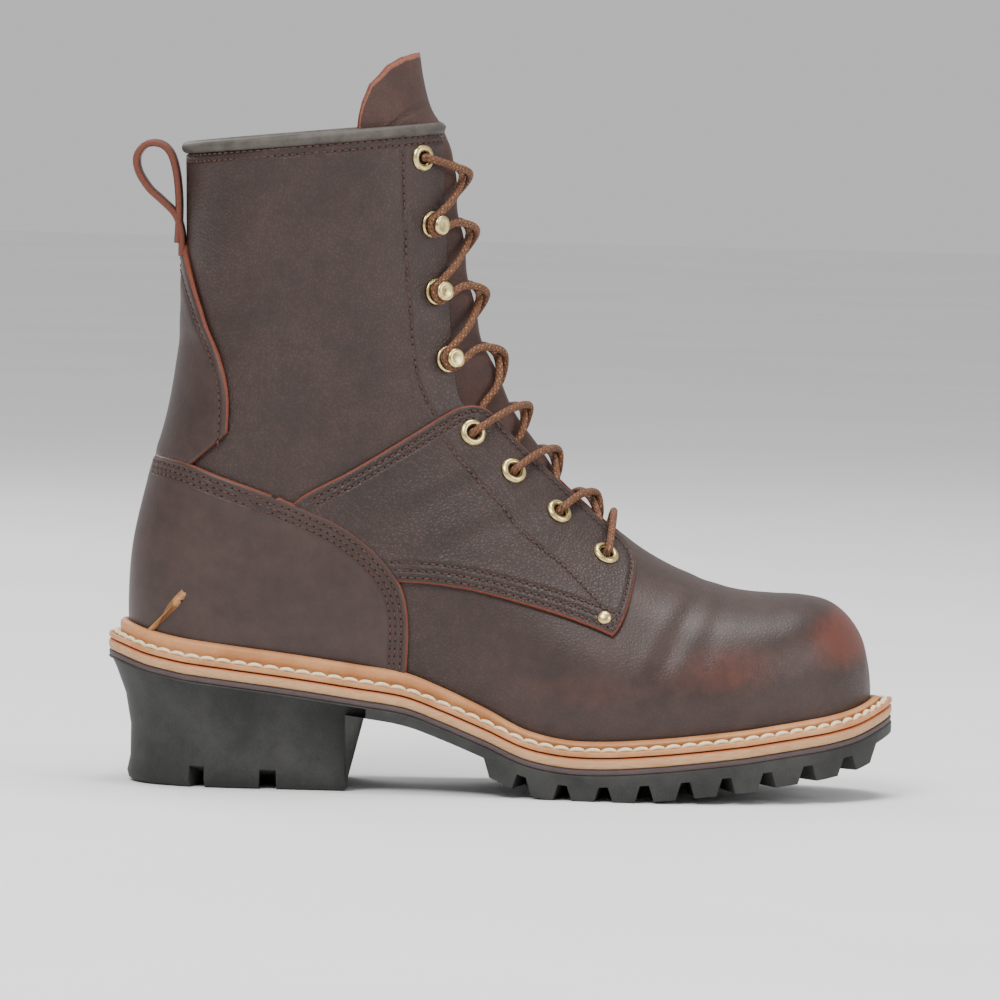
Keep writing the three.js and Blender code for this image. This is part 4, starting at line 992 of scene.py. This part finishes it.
def weltRing():
    corner = np.arange(around).astype(float)
    rise = ribTop(outlineFoot[:, 0]) - seat(outlineFoot[:, 0])
    lean = leanAt(corner, rise)
    half = leanAt(corner, rise * 0.5)
    build = counterBuild(outlineFoot[:, 0])
    at = np.linspace(0, around, 641)[:-1]
    read = lambda values: closedCurve(values[:, None], at)[:, 0]
    base = closedCurve(outlineFoot, at)
    out = unit(planCurve(welt["margin"], at) - base[:, :2])
    top, lean, half, build = read(rise), read(lean) + read(build), read(half) + read(build), read(build)
    w = welt["ribThick"]
    m = welt["margin"] + build
    flat = 0 * top
    profile = [
        (flat - welt["tuck"], flat - 2.3), (flat - welt["tuck"], flat - 0.3), (flat - 1.6, flat),
        (half - 1.2, top * 0.5), (lean - 0.8, top - 0.9), (lean + 0.1, top - 0.15),
        (lean + 0.9, top + 0.05),
        (lean + w * 0.62, top - 0.35), (lean + w * 0.9, top - 1.3),
        (mix(lean, half, 0.4) + w * 1.02, top * 0.62),
        (half + w * 1.02, top * 0.36), (build + w * 1.05, top * 0.12 + 0.2), (build + w + 0.7, flat - 0.35),
        (build + welt["groove"] - 0.4, flat - 0.75), (build + welt["groove"] + 0.7, flat - 0.55),
        (build + welt["groove"] + 1.5, flat - 0.02), (m - 0.6, flat + 0.02), (m - 0.15, flat - 0.25),
        (m, flat - 0.8), (m, flat - 1.9), (m - 0.25, flat - 2.3),
    ]
    d = np.stack([p[0] for p in profile], axis=1)
    raised = np.stack([p[1] for p in profile], axis=1)
    xy = base[:, None, :2] + out[:, None] * d[..., None]
    z = seat(xy[..., 0]) + raised
    grid = np.concatenate([xy, z[..., None]], axis=-1)
    piece = putMesh("storm_welt", grid, gridFaces(640, len(profile), wrapColumns=True, wrapRows=True),
                    [weltSkin])
    turnOut(piece)
    soften = piece.modifiers.new("soften", "SUBSURF")
    soften.levels = 1
    soften.render_levels = 1
    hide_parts("welt")
    return piece


weltRing()


def stitchMesh(name, centre, along, up, length, breadth, height, skin, ring=6, steps=5,
               twist=0.0):
    # many short threads as one mesh: an ellipse carried along a low arch that dives in at both ends
    t = np.linspace(-1, 1, steps)
    turn = np.linspace(0, 2 * np.pi, ring + 1)[:-1]
    taper = np.sqrt(np.maximum(1 - t**4, 0.06))
    lx = np.broadcast_to((t * length / 2)[:, None], (steps, ring))
    ly = taper[:, None] * np.cos(turn)[None] * breadth / 2
    lz = (taper[:, None] * np.sin(turn)[None] * height / 2
          + (height * 0.45 * (1 - t**2) - height * 0.15)[:, None])
    side = unit(np.cross(up, along))
    if twist:
        slanted = along * math.cos(twist) + side * math.sin(twist)
        side = side * math.cos(twist) - along * math.sin(twist)
        along = slanted
    local = np.stack([lx, ly, lz], axis=-1).reshape(-1, 3)
    frames = np.stack([along, side, up], axis=1)
    points = centre[:, None] + np.einsum("pk,nkc->npc", local, frames)
    quads = gridFaces(steps, ring, wrapColumns=True)
    caps = np.array([[0, 1, 2, 3], [0, 3, 4, 5]])
    caps = np.concatenate([caps, caps[:, ::-1] + (steps - 1) * ring])
    one = np.concatenate([quads, caps])
    count = len(centre)
    faces = (one[None] + (np.arange(count) * steps * ring)[:, None, None]).reshape(-1, 4)
    piece = putMesh(name, points, faces, [skin])
    turnOut(piece)
    return piece


def weltThread():
    # the lockstitch in the welt's groove, evenly spaced all the way round
    at = np.linspace(0, around, 4001)
    path = np.concatenate([planCurve(welt["groove"], at), np.zeros((4001, 1))], axis=1)
    path[:, 2] = seat(path[:, 0]) + 0.1
    count = int(round(pathLength(path) / welt["pitch"]))
    path = even(path, count + 1)
    centre = (path[:-1] + path[1:]) / 2
    along = unit(path[1:] - path[:-1])
    up = unit(np.array([0, 0, 1.0]) - along * along[:, 2:])
    return stitchMesh("welt_thread", centre, along, up, welt["pitch"] * 1.12, 2.1, 1.9, threadIvory,
                      6, 7, 0.16)


weltThread()

# Outsole: web, lugs with channels between them, arch and the undercut heel, in one closed skin
sole = {
    "margin": 8.4, "pitch": 15.8, "first": 8.0, "count": 10, "mouth": 7.4, "ceiling": 3.4, "reach": 23.0,
    "recess": 3.0, "start": -4.4, "lean": 2.2, "heel": 50.0, "waist": 9.6, "breast": -52.0,
    "breastLean": 8.0,
    "notches": (-90.4, -120.0), "notchTop": 7.0, "groove": (-105.0, -75.5),
}
heelProfile = {
    "up": [0, .03, .07, .2, .36, .52, .68, .84, 1, 1.2],
    "inset": [1.1, .92, .84, .97, 1, .93, .74, .44, .04, 0],
}


def soleStations(level):
    # x places along one side from the heel to the toe, for a row at a share of the tread's height; each
    # channel and notch has two places at either wall, so its walls stand up straight
    marks = [(-150.0, 0), (-142.0, 0)]
    for x in sorted(sole["notches"]):
        w = mix(3.5, 2.2, level)
        marks += [(x - w - 0.02, 0), (x - w + 0.02, 1), (x + w - 0.02, 1), (x + w + 0.02, 0)]
    breast = sole["breast"] - sole["breastLean"] * (1 - level) - 0.6
    marks += [(breast, 0), (breast + 0.04, 2)]
    start = sole["start"] - sole["lean"] * level
    marks += [(start - 0.04, 2), (start, 0)]
    for k in range(sole["count"]):
        x = min(sole["first"] + k * sole["pitch"], last["length"] / 2 + 3.5)
        w = mix(sole["mouth"], sole["ceiling"], level) / 2
        marks += [(x - w - 0.02, 0), (x - w + 0.02, 1)]
        if k < sole["count"] - 1:
            marks += [(x + w - 0.02, 1), (x + w + 0.02, 0)]
    return marks


def outsoleSkin():
    at = np.linspace(0, around, 6001)
    rimLoop = planCurve(sole["margin"], at)
    heelAt = at[np.argmin(rimLoop[:, 0])]
    toeAt = at[np.argmax(rimLoop[:, 0])] % around
    lengthwise = []
    rowsUp = [0.0, 0.03, 0.08, 0.2, 0.45, 0.7, 0.9, 0.985, 1.0]
    for side in (-1, 1):
        # the loop's place as a function of x on this side
        if side < 0:
            arc = np.linspace(toeAt if toeAt < 23 else toeAt - around, heelAt, 3000)[::-1]
        else:
            arc = np.linspace(heelAt, toeAt if toeAt > 23 else toeAt + around, 3000)
        xs = planCurve(sole["margin"], arc % around)[:, 0]
        rows = []
        for level in rowsUp + [1.02]:
            marks = soleStations(min(level, 1.0))
            places = []
            kinds = []
            edges = [heelAt] + [np.interp(x, xs, arc) for x, _ in marks[1:]] + [arc[-1]]
            kind = 0
            for i in range(len(edges) - 1):
                wall = i < len(marks) - 1 and abs(marks[i + 1][0] - marks[i][0]) < 0.1
                steps = 10 if i == 0 else (2 if wall else 7)
                part = np.linspace(edges[i], edges[i + 1], steps, endpoint=False)
                places.append(part)
                kinds.append(np.full(steps, marks[i][1]) if i else np.zeros(steps))
            places.append([edges[-1]])
            kinds.append([marks[-1][1]])
            rows.append((np.concatenate(places), np.concatenate(kinds)))
        lengthwise.append(rows)
    grids = []
    for side, rows in zip((-1, 1), lengthwise):
        lines = []
        for level, (place, kind) in zip(rowsUp + [1.02], rows):
            rimXY = planCurve(sole["margin"], place % around)
            x = rimXY[:, 0]
            heel = x < sole["breast"]
            arch = kind == 2
            height = level * outsoleTop(x) / sole["heel"]
            inset = np.interp(height, heelProfile["up"], heelProfile["inset"]) * sole["waist"]
            inset = np.where(heel, inset, 0.25 * (1 - min(level, 1)) * 2)
            low = np.where(heel, 0, tread(x))
            ceiling = np.where(heel, outsoleTop(x), treadCeiling(x))
            z = mix(low, ceiling, min(level, 1.0))
            notch = heel & (kind == 1) & (z < sole["notchTop"])
            channel = ~heel & (kind == 1) & (level < 0.98)
            z = np.where(arch, treadCeiling(x) - 0.001 * (1 - level), z)
            inset = np.where(arch, 0, inset)
            gone = np.where(notch, 20.0, np.where(channel, sole["reach"], 0.0))
            inward = unit(planCurve(sole["margin"] - 20, place % around) - rimXY)
            limit = np.abs(rimXY[:, 1]) / np.maximum(np.abs(inward[:, 1]), 0.1) - 2.0
            inner = rimXY + inward * np.clip(inset + gone, 0, np.maximum(limit, 11.0))[:, None]
            lines.append(np.concatenate([inner, z[:, None]], axis=1))
        rimXY = planCurve(sole["margin"], rows[-1][0] % around)
        lines.append(np.concatenate([rimXY, (outsoleTop(rimXY[:, 0]) - 0.5)[:, None]], axis=1))
        lines.append(np.concatenate([rimXY - unit(rimXY) * 0.5, outsoleTop(rimXY[:, 0])[:, None]], axis=1))
        bottom = lines[0]
        # under the sole: the lugs' faces, the inner wall, then the recessed middle
        place, kind = rows[0]
        rimXY = planCurve(sole["margin"], place % around)
        x = rimXY[:, 0]
        heel = x < sole["breast"]
        inward = unit(planCurve(sole["margin"] - 20, place % around) - rimXY)
        limit = np.abs(rimXY[:, 1]) / np.maximum(np.abs(inward[:, 1]), 0.1) - 2.0
        reach = np.clip(sole["reach"] + np.where(heel, 7.2, 0), 0, np.maximum(limit, 11.0))
        lugEdge = rimXY + inward * reach[:, None]
        deep = np.where(heel, 1.2, sole["recess"])
        zLow = bottom[:, 2]
        z0 = np.where(kind == 1, np.where(heel, zLow, tread(x)), zLow)
        under1 = np.concatenate([lugEdge, z0[:, None]], axis=1)
        under2 = np.concatenate([lugEdge + inward * 0.4, (z0 + np.where(kind == 2, 0, deep))[:, None]],
                                axis=1)
        middle = np.stack([under2[:, 0], np.interp(under2[:, 0], *midLine), under2[:, 2]], axis=1)
        lines = [middle, mix(middle, under2, 0.5), under2, under1] + lines
        topIn = lines[-1].copy()
        topIn[:, 1] = mix(topIn[:, 1], np.interp(topIn[:, 0], *midLine), 0.5)
        topMid = lines[-1].copy()
        topMid[:, 1] = np.interp(topMid[:, 0], *midLine)
        lines += [topIn, topMid]
        grids.append(np.stack(lines, axis=0))
    points = np.concatenate([grid.reshape(-1, 3) for grid in grids])
    firstCount = grids[0].shape[0] * grids[0].shape[1]
    faces = np.concatenate([gridFaces(*grids[0].shape[:2]),
                            gridFaces(*grids[1].shape[:2], start=firstCount)])
    piece = putMesh("lug_outsole", points, faces, [rubber])
    weld(piece, 0.01)
    turnOut(piece)
    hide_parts("outsole")
    return piece


# middle of the sole's breadth at each x, as two lists for interpolation
loop = planCurve(sole["margin"], np.linspace(0, around, 2001))
middleX = np.linspace(loop[:, 0].min() + 0.5, loop[:, 0].max() - 0.5, 120)
outerHalf = loop[:1001][np.argsort(loop[:1001, 0])]
innerHalf = loop[1001:][np.argsort(loop[1001:, 0])]
midLine = (middleX, (np.interp(middleX, *outerHalf.T) + np.interp(middleX, *innerHalf.T)) / 2)
outsole = outsoleSkin()
corner = outsole.modifiers.new("edges", "BEVEL")
corner.width = 0.0005
corner.segments = 2
corner.angle_limit = math.radians(38)


def insoleBoard():
    # the footbed: a slightly dished plate inside the upper
    at = np.linspace(0, around, 241)[:-1]
    outer = planCurve(-3.4, at, 0)
    inner = np.stack([outer[:, 0], np.interp(outer[:, 0], *midLine)], axis=1)
    shares = np.array([0, 0.3, 0.6, 0.85, 0.97, 1.0, 1.0])
    xy = mix(inner[:, None], outer[:, None], shares[None, :, None])
    z = seat(xy[..., 0]) + 3.5 + np.array([-0.5, -0.4, -0.2, 0.0, 0.0, -0.4, -2.8])[None]
    grid = np.concatenate([xy, z[..., None]], axis=-1)
    piece = putMesh("footbed", grid, gridFaces(240, 7, wrapRows=True), [insoleSkin])
    weld(piece, 0.01)
    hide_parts("insole")
    if sum(p.normal.z * p.area for p in piece.data.polygons) < 0:
        piece.data.flip_normals()
    return piece


insoleBoard()


print("stitches")


def rowOn(path, side, lift, pitch):
    # evenly spaced places on the last along a side-view path: centres, directions and normals
    s, v = locate(path[:, 0], path[:, 1], side)
    place = formPoint(s, v)
    count = max(int(pathLength(place) / pitch), 2)
    run = np.append(0, np.cumsum(np.linalg.norm(np.diff(place, axis=0), axis=1)))
    at = (np.arange(count) + 0.5) * run[-1] / count
    s = np.interp(at, run, s)
    v = np.interp(at, run, v)
    normal = formNormal(s, v)
    centre = formPoint(s, v) + normal * (lift - creaseDepth(formPoint(s, v)[:, 0],
                                                            formPoint(s, v)[:, 2]))[:, None]
    along = np.gradient(centre, axis=0)
    along = unit(along - normal * (along * normal).sum(axis=1)[:, None])
    return centre, along, normal


seams = {"pitch": 2.9, "length": 2.35, "breadth": 0.75, "height": 0.6}
onOverlay = 2.32
rows = []
for side in (-1, 1):
    for path in counterRows:
        inside = path[(path[:, 1] > seat(path[:, 0]) + 6.5) & (path[:, 0] > -137)]
        rows.append(rowOn(inside, side, onOverlay, seams["pitch"]))
    for path in stayRows:
        rows.append(rowOn(path[path[:, 1] > 131], side, onOverlay - 0.1, seams["pitch"]))
    edgeOfCounter = paths["counterTop"][np.argsort(paths["counterTop"][:, 0])]
    for path in quarterRows:
        clear = path[path[:, 1] > np.interp(path[:, 0], edgeOfCounter[:, 0], edgeOfCounter[:, 1],
                                            right=0) + 1.5]
        if len(clear) > 3:
            rows.append(rowOn(clear, side, onOverlay, seams["pitch"]))
    rows.append(rowOn(paths["shaftStay"][paths["shaftStay"][:, 1] < 250], side, 0.05, seams["pitch"]))
    for drop in (1.0, 3.6):
        line = collarLine - (0, drop)
        straight = np.stack([np.linspace(-127.4, -28.6, 90), np.linspace(*line[:, 1], 90)], axis=1)
        rows.append(rowOn(straight, side, 0.05, seams["pitch"]))
centre, along, normal = (np.concatenate([row[k] for row in rows]) for k in range(3))
stitchMesh("leather_thread", centre, along, normal, seams["length"], seams["breadth"],
           seams["height"], threadBrown, 6, 4)
print("leather stitches", len(centre))


def pinholes():
    # small dimples between the threads, coloured near black as painted shade in the holes
    place = centre + along * seams["pitch"] / 2 - normal * 0.02
    turn = np.linspace(0, 2 * np.pi, 7)[:-1]
    side = np.cross(normal, along)
    ring = (place[:, None] + along[:, None] * (np.cos(turn) * 0.42)[None, :, None]
            + side[:, None] * (np.sin(turn) * 0.42)[None, :, None] + normal[:, None] * 0.1)
    low = place[:, None] - normal[:, None] * 0.35
    points = np.concatenate([ring, low], axis=1)
    fan = np.array([[k, (k + 1) % 6, 6] for k in range(6)])
    top = np.array([[0, 1, 2], [0, 2, 3], [0, 3, 4], [0, 4, 5]])
    one = np.concatenate([top, fan[:, ::-1]])
    faces = (one[None] + (np.arange(len(place)) * 7)[:, None, None]).reshape(-1, 3)
    piece = putMesh("stitch_holes", points, faces, [holeShade])
    turnOut(piece)


pinholes()

print("hardware")

lacing = [
    (38, 92.6, "eyelet"), (19.3, 108.5, "eyelet"), (1.4, 124.2, "eyelet"), (-14.6, 139, "eyelet"),
    (-24.2, 167.7, "hook"), (-29.2, 193.8, "hook"), (-31.7, 219.9, "hook"), (-35.5, 245.6, "eyelet"),
]
metal = {
    "eyelet": [(2.55, -1.5), (2.5, 0.2), (2.6, 0.75), (2.95, 1.15), (3.6, 1.38), (4.3, 1.25), (4.9, 0.85),
               (5.3, 0.3), (5.35, 0.0), (5.1, -0.3), (4.4, -0.6)],
    "hook": [(0.01, 0.1), (3.0, 0.1), (4.6, 0.05), (5.2, 0.15), (5.3, 0.5), (5.0, 0.95), (4.3, 1.15),
             (3.5, 1.05),
             (2.5, 1.1), (1.95, 1.5), (1.8, 2.6), (1.8, 4.6), (2.1, 5.0), (3.3, 5.15), (3.75, 5.4),
             (3.85, 5.8),
             (3.7, 6.3), (3.2, 6.62), (2.3, 6.72), (2.0, 6.6), (0.01, 6.6)],
    "rivet": [(0.01, 1.5), (0.9, 1.45), (1.8, 1.2), (2.5, 0.75), (2.85, 0.2), (2.85, -0.3), (0.01, -0.3)],
    "holeShadeDisc": [(0.01, 0.12), (2.6, 0.12), (2.6, -0.2), (0.01, -0.2)],
}
metalFacets = 36


def turnedPart(name, profile, spots, skin, replaces):
    # a profile of radius and height turned about the leather's normal at each spot, all in one mesh
    turn = np.linspace(0, 2 * np.pi, metalFacets + 1)[:-1]
    r = np.array([p[0] for p in profile])
    h = np.array([p[1] for p in profile])
    local = np.stack([r[:, None] * np.cos(turn), r[:, None] * np.sin(turn), h[:, None] + 0 * turn], axis=-1)
    points = []
    for s, v, lift in spots:
        normal = formNormal(s, v)
        across = unit(np.cross(normal, (0, 0, 1.0)))
        frames = np.stack([across, np.cross(normal, across), normal])
        points.append(formPoint(s, v) + normal * lift + local.reshape(-1, 3) @ frames)
    hasHole = profile[0][0] > 0.02
    one = gridFaces(len(profile), metalFacets, wrapColumns=True, wrapRows=hasHole)
    faces = (one[None] + (np.arange(len(spots)) * local.shape[0] * metalFacets)[:, None,
                                                                                None]).reshape(-1, 4)
    piece = putMesh(name, np.concatenate(points), faces, [skin])
    weld(piece, 0.03)
    turnOut(piece)
    if replaces:
        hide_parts(*replaces)
    return piece


spots = {}
for number, (x, z, kind) in enumerate(lacing, 1):
    for side, word in ((-1, "lateral"), (1, "medial")):
        s, v = locate(x, z, side)
        spots[number, side] = (float(s), float(v), 2.35 if number < 5 else 0.05)
        node = kind + "_" + word + "_" + str(number)
        turnedPart("brass_" + node, metal[kind], [spots[number, side]], brass, [node])
# dark discs inside the eyelets: painted shade in their holes
turnedPart("eyelet_hole_shade", metal["holeShadeDisc"],
           [spots[n, side] for n in (1, 2, 3, 4, 8) for side in (-1, 1)], holeShade,
           None)
for side, word in ((-1, "lateral"), (1, "medial")):
    s, v = locate(38.6, 69.5, side)
    turnedPart("brass_rivet_" + word, metal["rivet"], [(float(s), float(v), 2.3)], brass, ["rivet_" + word])

print("lace")

lace = {"diameter": 3.0, "gap": 6.5, "strands": 5.0}


def over(number, side, lift):
    s, v, face = spots[number, side]
    return formOffset(s, v, face + lift)


def laceThrough(start):
    # the run of one lace half from the middle of the bottom bar up to its end inside the top eyelet
    points = []
    side = start
    s, v, face = spots[1, side]
    peak = float(sectionAt(np.array(s))["peak"])
    points += [formOffset(s, vAt(np.array(s), peak + side * 0.8), face + 2.3)]
    points += [formOffset(s, v * 0.5, face + 2.4), over(1, side, 3.2), over(1, side, 1.2),
               over(1, side, -1.0)]
    for number in range(1, 8):
        s, v, face = spots[number, side]
        other = spots[number + 1, -side]
        middle = mix(s, other[0], 0.45)
        hooked = lacing[number - 1][2] == "hook"
        first = side == -1
        if not hooked:
            gap = s + 0.35
            points += [formOffset(mix(s, gap, 0.5), mix(v, 0, 0.35), -2.6)]
            points += [formOffset(gap, vAt(np.array(gap), side * lace["gap"]), 1.0 if first else 1.4)]
        else:
            points += [formOffset(mix(s, middle, 0.45), v * 0.6, 2.8)]
        points += [formOffset(middle, 0.0, 2.3 if first else 5.2)]
        side = -side
        s, v, face = other
        if lacing[number][2] == "eyelet":
            points += [formOffset(mix(middle, s, 0.55), v * 0.6, face + 3.0)]
            points += [over(number + 1, side, 3.0), over(number + 1, side, 1.0),
                       over(number + 1, side, -1.6)]
        else:
            points += [formOffset(mix(middle, s, 0.6), v * 0.6, 3.2)]
            normal = formNormal(s, v)
            along = unit(formPoint(s + 0.1, v) - formPoint(s - 0.1, v))
            away = unit(np.cross(normal, along)) * (1 if side > 0 else -1)
            away = away * np.sign((away * (formPoint(s, v * 1.1) - formPoint(s, v))).sum())
            for turn in (-90, -35, 35, 90):
                c, q = math.cos(math.radians(turn)), math.sin(math.radians(turn))
                points += [formPoint(s, v) + normal * 3.05 + (away * c + along * q) * 3.35]
    s, v, face = spots[8, side]
    points += [formOffset(s + 0.1, v * 1.15, -5.0), formOffset(s - 0.15, v * 1.25, -5.2)]
    return np.array([np.asarray(p, float).reshape(3) for p in points])


def tube(name, points, diameter, skin, replaces, count=900, ring=14):
    # a round section carried along a smooth path without twist; the map runs along and around it
    path = curve(points, count)
    d = unit(np.gradient(path, axis=0))
    frames = np.zeros((count, 2, 3))
    side = unit(np.cross(d[0], (0.3, 0.2, 1.0)))
    for i in range(count):
        side = unit(side - d[i] * (side @ d[i]))
        frames[i] = side, np.cross(d[i], side)
    turn = np.linspace(0, 2 * np.pi, ring + 1)
    grid = path[:, None] + (np.cos(turn)[None, :, None] * frames[:, None, 0]
                            + np.sin(turn)[None, :, None] * frames[:, None, 1]) * diameter / 2
    run = np.append(0, np.cumsum(np.linalg.norm(np.diff(path, axis=0), axis=1)))
    uv = np.stack(np.broadcast_arrays(run[:, None] / 2.6, (turn / (2 * np.pi) * lace["strands"])[None]),
                  axis=-1)
    faces = gridFaces(count, ring + 1).tolist()
    faces += [list(range(ring))[::-1], [(count - 1) * (ring + 1) + k for k in range(ring)]]
    piece = putMesh(name, grid, faces, [skin], uv=uv)
    weld(piece, 0.001)
    turnOut(piece)
    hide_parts(*replaces)
    return piece


tube("lace_outer_start", laceThrough(-1), lace["diameter"], braid,
     ["lace_bar"] + ["lace_cross_" + str(n) for n in range(1, 8)], 1100)
tube("lace_inner_start", laceThrough(1), lace["diameter"], braid, ["lace_bar"], 1100)


print("stage")

# Camera at the photograph's angle: low, square to the outer side, rolled a little
view = {"target": (-1.85, 3.37, 112.5), "distance": 3500.0, "rise": 3.0, "roll": 1.35, "frameWidth": 390.3}
away = Vector((0, -math.cos(math.radians(view["rise"])), math.sin(math.radians(view["rise"]))))
target = Vector(view["target"]) / 1000
camera = bpy.data.objects.new("camera", bpy.data.cameras.new("camera"))
bpy.context.scene.collection.objects.link(camera)
camera.location = target + away * view["distance"] / 1000
turned = away.to_track_quat("Z", "Y").to_matrix().to_4x4() @ Matrix.Rotation(math.radians(view["roll"]),
                                                                             4, "Z")
camera.rotation_euler = turned.to_euler()
camera.data.sensor_width = 36
camera.data.lens = 36 * view["distance"] / view["frameWidth"]
camera.data.clip_end = 50
bpy.context.scene.camera = camera

# Floor, pale and plain
floorMesh = bpy.data.meshes.new("floor")
floorMesh.from_pydata([(-9, -9, 0), (9, -9, 0), (9, 9, 0), (-9, 9, 0)], [], [(0, 1, 2, 3)])
floor = bpy.data.objects.new("floor", floorMesh)
bpy.context.scene.collection.objects.link(floor)
floorMesh.materials.append(plainFinish("paleFloor", ink(244, 244, 244), ink(248, 248, 248), 400, 0.7, 0))

# Soft studio light: a big key in front and above, a fill on the toe side, a rim from behind
lamps = {
    "key": ((-0.6, -1.5, 1.9), 1.1, 44), "fill": ((1.8, -1.0, 0.9), 1.0, 16),
    "top": ((0.2, 0.1, 2.2), 1.0, 30),
    "rim": ((-0.9, 1.7, 1.2), 1.2, 14),
}
for name, (place, width, power) in lamps.items():
    light = bpy.data.lights.new(name, "AREA")
    light.shape = "DISK"
    light.size = width
    light.energy = power
    lamp = bpy.data.objects.new(name, light)
    lamp.location = place
    lamp.rotation_euler = (Vector(place) - Vector((0, 0, 0.12))).to_track_quat("Z", "Y").to_euler()
    bpy.context.scene.collection.objects.link(lamp)
world = bpy.data.worlds.new("studio")
world.use_nodes = True
world.node_tree.nodes["Background"].inputs["Color"].default_value = (1, 1, 1, 1)
world.node_tree.nodes["Background"].inputs["Strength"].default_value = 0.62
bpy.context.scene.world = world
